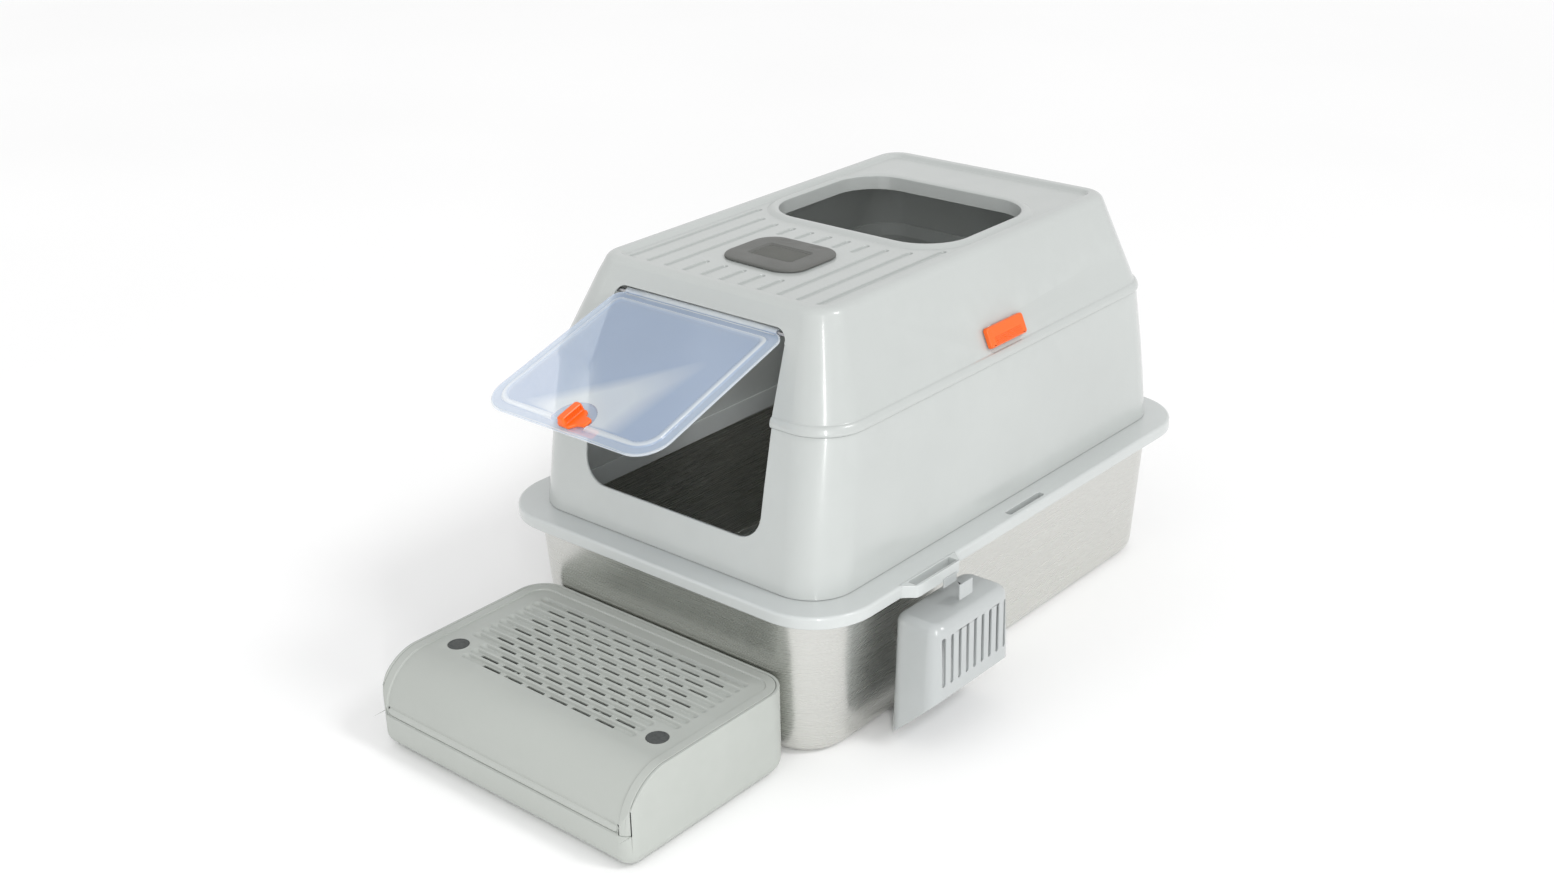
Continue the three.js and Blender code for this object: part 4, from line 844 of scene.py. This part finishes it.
FLAP_OPEN_ANGLE = 17.5
SILL_OVERLAP = 2.5
FLAP_SIDE_GAP = 1.5
FLAP_SPREAD = 2.5
LATCH_FROM_END = 17
LATCH_SHAFT_DROP = 9.6  # the knob's shaft runs this far through the flap, down to its tongue
LATCH_SHAFT_RADIUS = 3.2
LATCH_SEAT = 1.3
FLAP_BARREL_RADIUS = 4

flap_length = math.hypot(hinge_z - sill, hinge_y - hood_at(sill).front) + SILL_OVERLAP
flap_half = entry_half - FLAP_SIDE_GAP
flap_place = Matrix.Translation(Vector((0, hinge_y, hinge_z)) * MM) @ Matrix.Rotation(
    math.radians(FLAP_OPEN_ANGLE), 4, "X"
)
latch_y = LATCH_FROM_END - flap_length


def flap_row(come, z, top_radius, end_radius):
    shape = rounded([
        (come - flap_half, -2 - come, max(1.5, top_radius)),
        (come - flap_half - FLAP_SPREAD, come - flap_length, max(3.0, end_radius)),
        (flap_half + FLAP_SPREAD - come, come - flap_length, max(3.0, end_radius)),
        (flap_half - come, -2 - come, max(1.5, top_radius)),
    ], 14)
    return [(u, v, z) for u, v in shape]


def make_flap():
    rows = [flap_row(0.9, -1.0, 11, 27), flap_row(0.25, -0.75, 12, 28), flap_row(0, 0, 12, 28)]
    for come, z in ((0.1, 0.9), (0.5, 1.4), (1.2, 1.45), (1.9, 1.1), (2.6, 1.0), (8.0, 1.0), (8.6, 1.2),
                    (9.2, 1.9), (9.8, 2.9), (10.7, 3.5), (12.2, 3.6), (13.6, 3.3), (14.6, 2.7), (15.4, 2.6)):
        rows.append(flap_row(come, z, 12 - 0.45 * come, 28 - 0.75 * come))
    flap = loft("flap", rows)
    under = loft("under", [
        flap_row(11.5, -1.6, 6, 19), flap_row(12.2, -0.9, 6, 18.5),
        flap_row(14.0, 0.0, 5.5, 17), flap_row(15.5, 0.55, 5, 16)])
    cut(flap, under)
    barrel_half = flap_half - 10
    barrel = rod("x", FLAP_BARREL_RADIUS, (0, 0), -barrel_half, barrel_half, 32)
    join(flap, barrel)
    bay_rows = []
    for radius, z in ((21.0, 6.0), (21.0, 1.9), (20.4, 1.35), (19.2, 1.05), (12.0, 1.0)):
        bay_rows.append([(x, y, z) for x, y in oval((0, latch_y), (radius, radius), 48)])
    cut(flap, loft("bay", bay_rows))
    pin_bores = []
    for side in (-1, 1):
        ends = sorted((side * (barrel_half - 15), side * (barrel_half + 1)))
        pin_bores.append(rod("x", HINGE_PIN_BORE, (0, 0), *ends, 24))
    cut(flap, *pin_bores, rod("z", 3.5, (0, latch_y), -5, 5, 24))
    return moved(soften(flap, 0.3), flap_place)


finish_piece(make_flap(), "flap_sheet", "flap", flap_look, ("entry_flap",))

latch_place = flap_place @ Matrix.Translation(Vector((0, latch_y, 0)) * MM)


def make_latch():
    seat = LATCH_SEAT
    foot = rounded([(-8.5, -12, 4), (6, -12.5, 3), (11, -6.5, 4), (19, -5, 3), (19, 4.5, 3),
                    (11, 5.5, 4), (6.5, 12, 4), (-8.5, 12, 4)], 6)
    knob = loft("knob", [
        [(u * 0.98, v * 0.98, seat) for u, v in foot],
        [(u, v, seat + 0.7) for u, v in foot],
        [(u, v, seat + 2.2) for u, v in foot],
        [(u * 0.94, v * 0.94, seat + 3.0) for u, v in foot],
    ])
    grip = loft("grip", [
        [(u - 1.5, v, seat + rise) for u, v in rounded_box((-w, w), (-l, l), 2, 6)]
        for w, l, rise in ((4.6, 12.6, 1.5), (4.2, 12.4, 5), (3.7, 12.0, 8.4), (2.9, 11.2, 9.4))
    ])
    join(knob, grip)
    cut(knob, block((1.2, 4.6), (-9.6, 9.6), (seat + 3.6, seat + 8.0)))
    teeth = []
    for k in range(9):
        y = (k - 4) * 2.2
        foot_z, tip_z = seat + 3.4, seat + 8.2
        tooth = [(y - 0.75, foot_z), (y + 0.75, foot_z), (y + 0.35, tip_z), (y - 0.35, tip_z)]
        teeth.append(prism(tooth, "x", 0.6, 2.0))
    join(knob, gathered(teeth))
    join(knob, rod("z", LATCH_SHAFT_RADIUS, (0, 0), -LATCH_SHAFT_DROP, seat + 1, 24))
    return moved(soften(knob, 0.35), latch_place)


finish_piece(make_latch(), "latch_grip", "latch", orange_look, ("latch_knob",))

# ---- Side clips ----


def clip_row(x, come, radius):
    low, high, half = -CLIP_DROP, 0.1, CLIP_HALF
    shape = rounded_box((come - half, half - come), (low + come, high - come), radius, 8)
    return [(x, u, v) for u, v in shape]


def make_clip(side):
    wall = ((0.9, 0.6, 2.6), (1.4, 0.1, 3.0), (1.8, 0, 3.0), (4.2, 0.1, 3.0))
    rows = [clip_row(*level) for level in wall]
    for angle in quarter(6)[1:]:
        rows.append(clip_row(4.2 + 2.0 * math.sin(angle), 0.1 + 2.0 * (1 - math.cos(angle)), 3.0 - angle / 2))
    clip = loft("clip", rows)
    cut(clip, rod("y", CLIP_PIN_BORE, (CLIP_AXIS_X, CLIP_AXIS_Z), 2 - CLIP_HALF, CLIP_HALF - 2, 24))
    for end in (-1, 1):
        y = end * CLIP_EAR_Y
        cut(clip, block((-1, CLIP_AXIS_X + 2.65), (y - 3, y + 3), (CLIP_AXIS_Z - 2.65, -0.9)))
    ridges = []
    for k in range(5):
        z = -17.6 + 1.7 * k
        ridges.append(block((5.9, 6.2 + 0.28), (-21, 21), (z - 0.25, z + 0.25)))
    join(clip, gathered(ridges))
    return moved(soften(clip, 0.25), lid_side(side))


for label, side in (("left", -1), ("right", 1)):
    finish_piece(make_clip(side), f"clip_{label}_body", f"clip_{label}", orange_look,
                 (f"side_clip_{label}",))

# ---- Filter cover ----


def make_filter_cover():
    half_x = filter_x
    half_y = (filter_high.y - filter_low.y) / 2
    under = filter_low.z
    top = filter_high.z

    def row(come, z):
        section = Section(
            half_x - come, filter_y - half_y + come, filter_y + half_y - come, 22 - come * 0.6
        )
        points = []
        for x, y, height in section.outline(z, 16):
            front = max(0.0, (filter_y - y) / half_y)
            wave = 0.7 * math.sin(x * 0.21 + 0.6) * front ** 3
            points.append((x, y + wave + 0.7 * front ** 3, height))
        return points

    cover = loft("cover", [
        row(0.9, under), row(0.2, under + 0.4), row(0, under + 1.1),
        row(0.2, under + 2.1), row(1.0, under + 2.8),
        row(3.0, top - 0.25), row(8.0, top - 0.05), row(14.0, top),
    ])
    frame_cut = loft("dish", [
        centred(50 + 2 * d, 32 + 2 * d, 2.5 + d, filter_y).outline(z, 5)
        for d, z in ((0.0, top - 1.2), (0.2, top - 0.9), (1.2, top - 0.1), (2.4, top + 0.8))
    ])
    window = block((-24, 24), (filter_y - 15, filter_y + 15), (under - 1, top + 1))
    cut(cover, frame_cut, window)
    for x in (-18.0, 18.0):
        ball = loft("dimple", [
            [(u, v, z) for u, v in oval((x, filter_y + half_y - 9), (r * 1.5, r * 0.8), 24)]
            for r, z in ((7.0, top + 0.3), (6.0, top - 0.05), (4.2, top - 0.4), (2.0, top - 0.55))
        ])
        cut(cover, ball)
    notch = rod("z", 2.2, (-half_x + 9.5, filter_low.y + 2.2), under - 1, top + 1, 20)
    cut(cover, notch)
    return soften(cover, 0.25)


MESH_HALF = (24.3, 15.3)
MESH_LEAN = 0.62  # the angle between a bar and the X axis, in radians
MESH_PITCH = 2.3
MESH_BAR = 0.38


def make_filter_mesh():
    """A lattice of thin crossing bars that closes the window of the filter cover."""
    level = filter_high.z - 1.7
    bars = []
    for lean, z in ((1, level), (-1, level - 0.5)):
        for k in range(-14, 15):
            along = Vector((math.cos(MESH_LEAN), lean * math.sin(MESH_LEAN)))
            across = Vector((-along.y, along.x))
            near, far = -60.0, 60.0
            middle = across * k * MESH_PITCH
            for axis, limit in enumerate(MESH_HALF):
                reach = sorted((end - middle[axis]) / along[axis] for end in (limit, -limit))
                near, far = max(near, reach[0]), min(far, reach[1])
            if far - near < 2:
                continue
            ends = (middle + along * near, middle + along * far)
            edges = ((ends[0], -MESH_BAR), (ends[1], -MESH_BAR), (ends[1], MESH_BAR), (ends[0], MESH_BAR))
            sides = [end + across * w for end, w in edges]
            bars.append(loft("bar", [[(u, v + filter_y, h) for u, v in sides] for h in (z - 0.35, z + 0.35)]))
    return smooth(gathered(bars), 30)


finish_piece(make_filter_cover(), "filter_plate", "filter", grey_look, ("filter_cover",))
finish_piece(make_filter_mesh(), "filter_mesh", "filter", mesh_look)

# ---- Scoop ----

HEAD_FLARE = 7
HEAD_WALL = 2.4
HEAD_CORNER = 14
MOUTH_FRONT = 72
HEAD_TOP_HALF = 54.5
HEAD_TOP_ROUND = 9
HEAD_SLOTS = 9
HEAD_SLOT_PITCH = 11.4
HEAD_SLOT_HALF = 2.1
head_top = head_high.z
head_back = head_low.x
head_front = head_high.x
head_drop = head_top - head_low.z


def head_row(z, come, radius=HEAD_CORNER):
    t = (head_top - z) / head_drop
    half = HEAD_TOP_HALF + HEAD_FLARE * t - come
    depth = (head_front - head_back) / 2
    middle = (head_front + head_back) / 2
    section = Section(depth - come, SCOOP_Y - half, SCOOP_Y + half, max(2.0, radius - come))
    return [(x + middle, y, height) for x, y, height in section.outline(z, 12)]


def make_head():
    wall = (head_low.z - 24, head_low.z + 30, head_top - HEAD_TOP_ROUND)
    rows = [head_row(z, 0) for z in wall]
    for angle in quarter(8)[1:]:
        rise = head_top - HEAD_TOP_ROUND + HEAD_TOP_ROUND * math.sin(angle)
        rows.append(head_row(rise, HEAD_TOP_ROUND * (1 - math.cos(angle))))
    head = loft("head", rows)
    inside = [head_row(head_low.z - 25, HEAD_WALL), head_row(head_top - 10, HEAD_WALL)]
    for angle in quarter(4)[1:]:
        come = HEAD_WALL + 7 * (1 - math.cos(angle))
        inside.append(head_row(head_top - 10 + 7.6 * math.sin(angle), come))
    cut(head, loft("inside", inside))
    slope = (head_drop - MOUTH_FRONT) / (head_front - head_back)
    front_edge = head_top - MOUTH_FRONT
    far = 40
    below = [
        (head_back - far, -160), (head_front + far, -160),
        (head_front + far, front_edge + slope * far), (head_back - far, head_low.z - slope * far),
    ]
    mouth = loft("mouth", [[(x, y, z) for x, z in below] for y in (SCOOP_Y - 120, SCOOP_Y + 120)])
    cut(head, mouth)
    slots = []
    for k in range(HEAD_SLOTS):
        y = SCOOP_Y + (k - HEAD_SLOTS // 2) * HEAD_SLOT_PITCH
        outline = rounded_box((y - HEAD_SLOT_HALF, y + HEAD_SLOT_HALF), (head_top - 60, head_top - 12), 2, 6)
        slots.append(prism(outline, "x", head_front - HEAD_WALL - 2, head_front + 2))
    cut(head, gathered(slots))
    return soften(head, 0.6)


finish_piece(make_head(), "scoop_basket", "scoop", scoop_look, ("scoop_head",))


def handle_outline(come):
    """The handle seen from outside, come in by a margin, as (y, z) points."""
    low, high = handle_low.z + come, handle_high.z - come
    length = handle_high.z - handle_low.z
    side = []
    steps = 26
    for k in range(steps + 1):
        t = k / steps
        z = low + (high - low) * t
        u = (z - handle_low.z) / length
        base = 19.0 - 6.0 * min(1.0, u / 0.42) ** 0.75 if u < 0.42 else 13.0
        flare = 3.0 * max(0.0, min(1.0, (u - 0.8) / 0.12)) ** 1.5
        width = base + flare
        top_round = 9.0
        near_top = max(0.0, z - (handle_high.z - top_round))
        width -= top_round - math.sqrt(max(0.0, top_round ** 2 - near_top ** 2))
        side.append((width - come, z))
    right = [(SCOOP_Y + w, z) for w, z in side]
    left = [(SCOOP_Y - w, z) for w, z in reversed(side)]
    return right + left


def make_handle():
    bar_rows = []
    for x, come in ((0, 2.0), (0.7, 0.7), (2.0, 0.0), (20.6, 0.0), (22.4, 0.4), (23.8, 1.3),
                    (24.7, 2.7), (25.0, 3.6), (24.4, 4.0), (24.4, 4.5), (25.0, 4.9)):
        bar_rows.append([(handle_low.x + x, y, z) for y, z in handle_outline(come)])
    bar = loft("bar", bar_rows)
    notch_top = rim_top + 3
    notch_front = rim_high.x + 1
    notch = block(
        (handle_low.x - 1, notch_front), (SCOOP_Y - 40, SCOOP_Y + 40), (handle_low.z - 1, notch_top)
    )
    cut(bar, notch)
    hook_xs = (handle_low.x, rim_high.x - 3 - SLIDE_GAP)
    join(bar, block(hook_xs, (SCOOP_Y - 11, SCOOP_Y + 11), (notch_top - 16, notch_top + 1)))
    mid = handle_low.z + 14
    near, far = notch_front - 1, handle_high.x + 1
    window_outline = [(near, mid - 1), (far, mid - 7.5), (far, mid + 7), (near, mid + 7)]
    window = prism(window_outline, "y", SCOOP_Y - 9.5, SCOOP_Y + 9.5)
    round_edges(bar, 0.35)
    # Known fault: this cut also takes away most of the bar, so the piece is left without its handle.
    boolean(bar, [window], "DIFFERENCE", "EXACT")
    return smooth(bar, 45)


finish_piece(make_handle(), "scoop_grip", "scoop", scoop_look, ("scoop_handle",))

# ---- Step ----

STEP_REAR_CORNER = 28
STEP_FRONT_CORNER = 14
STEP_NOSE = 48
STEP_WALL = 3
STEP_SKIRT = 9
STEP_BOTTOM_ROUND = 13
STEP_SHEET = 6
STEP_BORDER = 12
STEP_RECESS = 1.5
STEP_ROWS = 12
STEP_ROW_PITCH = 10.4
STEP_ROW_SIDE = 29
STEP_ROW_MARGIN = 15.3
STEP_SLOT = (22, 4.2)
STEP_SLOT_PITCH = 28
STEP_RIB_X = 52
LIP_BEAD = 7
STEP_PAST_FRONT = 200  # how far a cutter that is open to the front runs past it

step_half = base_high.x
step_front = base_low.y
step_rear = base_high.y
step_top = base_high.z
step_bottom = base_low.z
seam = cover_low.z - FIT_GAP
nose_base = step_top - STEP_NOSE
plug_x = (plug_low.x + plug_high.x) / 2
plug_y = (plug_low.y + plug_high.y) / 2
plug_hole = 10


def step_plate(come, low, high, bottom_round=0.0):
    past = STEP_REAR_CORNER
    half, front, rear = step_half - come, step_front + come, step_rear - come
    rear_part = Section(half, front - past, rear, STEP_REAR_CORNER - come)
    front_part = Section(half, front, rear + past, STEP_FRONT_CORNER - come)
    levels = [(0.0, low), (0.0, high)]
    if bottom_round:
        levels = []
        for angle in quarter(6):
            levels.append((bottom_round * (1 - math.sin(angle)), low + bottom_round * (1 - math.cos(angle))))
        levels.append((0.0, high))
    made = loft("step", [rear_part.inset(by).outline(z, 12) for by, z in levels])
    return common(made, loft("step", [front_part.inset(by).outline(z, 12) for by, z in levels]))


def step_profile(come):
    past = 20
    outline = [(step_rear + past, -past), (step_rear + past, step_top - come)]
    centre = (step_front + STEP_NOSE, nose_base)
    for k in range(33):
        angle = math.pi / 2 * (1 + k / 32)
        radius = STEP_NOSE - come
        outline.append((centre[0] + radius * math.cos(angle), centre[1] + radius * math.sin(angle)))
    outline.append((step_front + come, -past))
    return prism(outline, "x", -step_half - past, step_half + past)


def cover_room(come, low):
    section = Section(
        step_half - STEP_WALL - come, step_front - STEP_PAST_FRONT,
        step_rear - STEP_WALL - come, STEP_REAR_CORNER - STEP_WALL - come
    )
    return plate(section, low, step_top + 5, 12)


def make_step_base():
    base = common(step_plate(0, step_bottom, step_top + 5, STEP_BOTTOM_ROUND), step_profile(0))
    cut(base, step_plate(STEP_WALL, step_bottom + STEP_WALL, step_top + 6, STEP_BOTTOM_ROUND - STEP_WALL))
    cut(base, cover_room(0, seam))
    for x in (-STEP_RIB_X, STEP_RIB_X):
        thick = (x - STEP_WALL / 2, x + STEP_WALL / 2)
        rear = step_rear - 2 * (STEP_WALL + SLIDE_GAP)
        rib = block(thick, (step_front, rear), (step_bottom + 1.5, step_top))
        common(rib, step_profile(STEP_SHEET + FIT_GAP))
        join(rib, block(thick, (step_front + 1.5, rear), (step_bottom + 1.5, seam - FIT_GAP)))
        common(rib, step_plate(1.5, step_bottom + 1, step_top + 4, STEP_BOTTOM_ROUND - 1.5))
        join(base, rib)
    return soften(base, 0.8)


def row_y(row):
    return step_rear - STEP_BORDER - STEP_ROW_MARGIN - row * STEP_ROW_PITCH


def row_half(y):
    beside_plug = abs(y - plug_y) < 18
    return plug_x - 16.5 if beside_plug else step_half - STEP_ROW_SIDE


def trough(y, half):
    """A long trough with soft, leaf-like ends."""
    surface = step_top - STEP_RECESS
    wide = STEP_ROW_PITCH / 2 - 1.3
    rows = []
    slope = ((-0.8, -0.5), (-0.5, 0), (-0.1, 0.25), (0.25, 0.8), (0.6, 1.8), (1.1, 2.7), (1.5, 2.9))
    for come, depth in slope:
        section = Section(half - 3.5 * come, y - wide + come, y + wide - come, wide - come - 0.05)
        rows.append(section.outline(surface - depth, 6))
    return loft("trough", rows)


def slot(x, y):
    length, width = STEP_SLOT
    rows = []
    for z, by in ((step_top - STEP_SHEET - 2, 0), (step_top - STEP_RECESS - 3.2, 0),
                  (step_top - STEP_RECESS - 2.8, 0.3), (step_top + 1, 0.4)):
        u, v = length / 2 + by, width / 2 + by
        rows.append([(px + x, py + y, z) for px, py in rounded_box((-u, u), (-v, v), 1.4, 4)])
    return loft("slot", rows)


def lip_bead():
    """The raised bead along the bottom of the deck's front, with round ends."""
    half = step_half - STEP_BORDER - 2
    low, high = seam + 1.6, seam + 1.6 + LIP_BEAD
    rows = []
    for y, come in ((3.5, 0), (1.1, 0), (0.5, 0.35), (0.15, 1.0), (0.05, 1.9)):
        shape = rounded_box((come - half, half - come), (low + come, high - come), 3.4 - come, 8)
        rows.append([(u, step_front + y, v) for u, v in shape])
    return loft("bead", rows)


def make_step_cover():
    gap = 0.35
    cover = common(
        step_plate(0, step_bottom, step_top + 5), step_profile(0), cover_room(gap, seam + FIT_GAP)
    )
    room = common(
        cover_room(gap + STEP_WALL, 0), step_profile(STEP_SHEET), step_plate(STEP_WALL, 0, step_top)
    )
    cut(cover, room, step_profile(STEP_SKIRT))
    border = Section(
        step_half - STEP_BORDER, step_front - STEP_PAST_FRONT,
        step_rear - STEP_BORDER, STEP_REAR_CORNER - STEP_BORDER
    )
    recess = plate(border, seam + 1.1, step_top + 5, 10)
    cut(recess, step_profile(STEP_RECESS))
    cut(cover, recess)
    join(cover, lip_bead())
    round_edges(cover, 0.8, 3)
    troughs = []
    slots = []
    for row in range(STEP_ROWS):
        y = row_y(row)
        half = row_half(y)
        troughs.append(trough(y, half))
        shift = (row % 2) * STEP_SLOT_PITCH / 2
        for k in range(-6, 7):
            x = k * STEP_SLOT_PITCH + shift
            if abs(x) + STEP_SLOT[0] / 2 < half - 5:
                slots.append(slot(x, y))
    cut(cover, gathered(troughs))
    cut(cover, gathered(slots))
    for side in (-1, 1):
        cut(cover, rod("z", plug_hole, (side * plug_x, plug_y), step_top - 12, step_top + 1, 48))
    return smooth(cover, 35)


finish_piece(make_step_base(), "step_tub", "step", step_look, ("step_base",))
finish_piece(make_step_cover(), "step_deck", "step_top", step_look, ("step_cover",))


def make_plug(side):
    top = step_top - STEP_RECESS
    radius = plug_hole - FIT_GAP
    profile = ((radius, top - 4), (radius, top - 0.1), (radius - 0.4, top + 0.3), (radius - 1.3, top + 0.3),
               (radius - 1.8, top - 0.1), (radius - 2.4, top + 0.05), (radius * 0.4, top + 0.25))
    rows = []
    for r, z in profile:
        rows.append([(x, y, z) for x, y in oval((side * plug_x, plug_y), (r, r), 48)])
    return smooth(loft("plug", rows), 50)


for label, side in (("left", -1), ("right", 1)):
    finish_piece(make_plug(side), f"plug_{label}", "step_top", plug_look,
                 (f"step_plug_{label}",))

# ---- CAD nodes that stay ----


def dress(node, material):
    data = frame["nodes"][node].data
    data.materials.clear()
    data.materials.append(material)


for name in ("flap_pin_left", "flap_pin_right", "clip_pin_left", "clip_pin_right"):
    dress(name, pin_look)
for name in ("step_foot_1", "step_foot_2", "step_foot_3", "step_foot_4"):
    dress(name, foot_look)
dress("latch_tongue", orange_look)
dress("filter_tray", grey_look)
dress("filter_pad", felt_look)

# ---- Floor, light and camera ----


FLOOR_REACH = 14000.0
WORLD_STRENGTH = 0.82
CAMERA_AZIMUTH = 41.04
CAMERA_ELEVATION = 23.6
CAMERA_ROLL = -1.35
CAMERA_LENS = 44.32
CAMERA_PLACE = (1.0771, -1.3576, 0.9302)


def make_floor():
    size = FLOOR_REACH
    points = [(-size, -size, 0), (size, -size, 0), (size, size, 0), (-size, size, 0)]
    floor = new_object("floor", points, [(0, 1, 2, 3)])
    m = Nodes("floor_white")
    cloud = m.ranged(m.noise(1.2, 2.0), 0.0, 1.0)
    m.link(m.mixed(cloud, (0.96, 0.96, 0.96, 1), (0.98, 0.98, 0.98, 1)), "Base Color")
    m.shader.inputs["Roughness"].default_value = 0.8
    floor.data.materials.append(m.material)


def make_world():
    world = bpy.data.worlds.new("studio")
    world.use_nodes = True
    background = world.node_tree.nodes["Background"]
    background.inputs["Color"].default_value = (1.0, 1.0, 1.0, 1)
    background.inputs["Strength"].default_value = WORLD_STRENGTH
    bpy.context.scene.world = world


def softbox(name, place, aim, size, power):
    light = bpy.data.lights.new(name, "AREA")
    light.shape = "RECTANGLE"
    light.size, light.size_y = size
    light.energy = power
    lamp = bpy.data.objects.new(name, light)
    lamp.location = place
    lamp.rotation_euler = (Vector(aim) - Vector(place)).to_track_quat("-Z", "Y").to_euler()
    bpy.context.scene.collection.objects.link(lamp)


def sunlight(toward, strength, spread):
    light = bpy.data.lights.new("key", "SUN")
    light.energy = strength
    light.angle = math.radians(spread)
    lamp = bpy.data.objects.new("key", light)
    lamp.rotation_euler = Vector(toward).to_track_quat("Z", "Y").to_euler()
    bpy.context.scene.collection.objects.link(lamp)


def make_camera():
    azimuth, elevation = math.radians(CAMERA_AZIMUTH), math.radians(CAMERA_ELEVATION)
    roll = math.radians(CAMERA_ROLL)
    back = Vector((
        math.sin(azimuth) * math.cos(elevation), -math.cos(azimuth) * math.cos(elevation), math.sin(elevation)
    ))
    right = Vector((math.cos(azimuth), math.sin(azimuth), 0))
    up = back.cross(right)
    turned_right = math.cos(roll) * right + math.sin(roll) * up
    turned_up = math.cos(roll) * up - math.sin(roll) * right
    data = bpy.data.cameras.new("camera")
    data.sensor_width = 36
    data.lens = CAMERA_LENS
    camera = bpy.data.objects.new("camera", data)
    axes = Matrix((turned_right, turned_up, back)).transposed()
    camera.matrix_world = Matrix.Translation(CAMERA_PLACE) @ axes.to_4x4()
    bpy.context.scene.collection.objects.link(camera)
    bpy.context.scene.camera = camera


make_floor()
make_world()
sunlight((1.5, 0.5, 1.7), 0.76, 14)
softbox("corner", (1.95, -2.05, 1.1), (0, -0.2, 0.2), (0.12, 2.4), 30)
make_camera()
bpy.context.scene.view_settings.view_transform = "Standard"
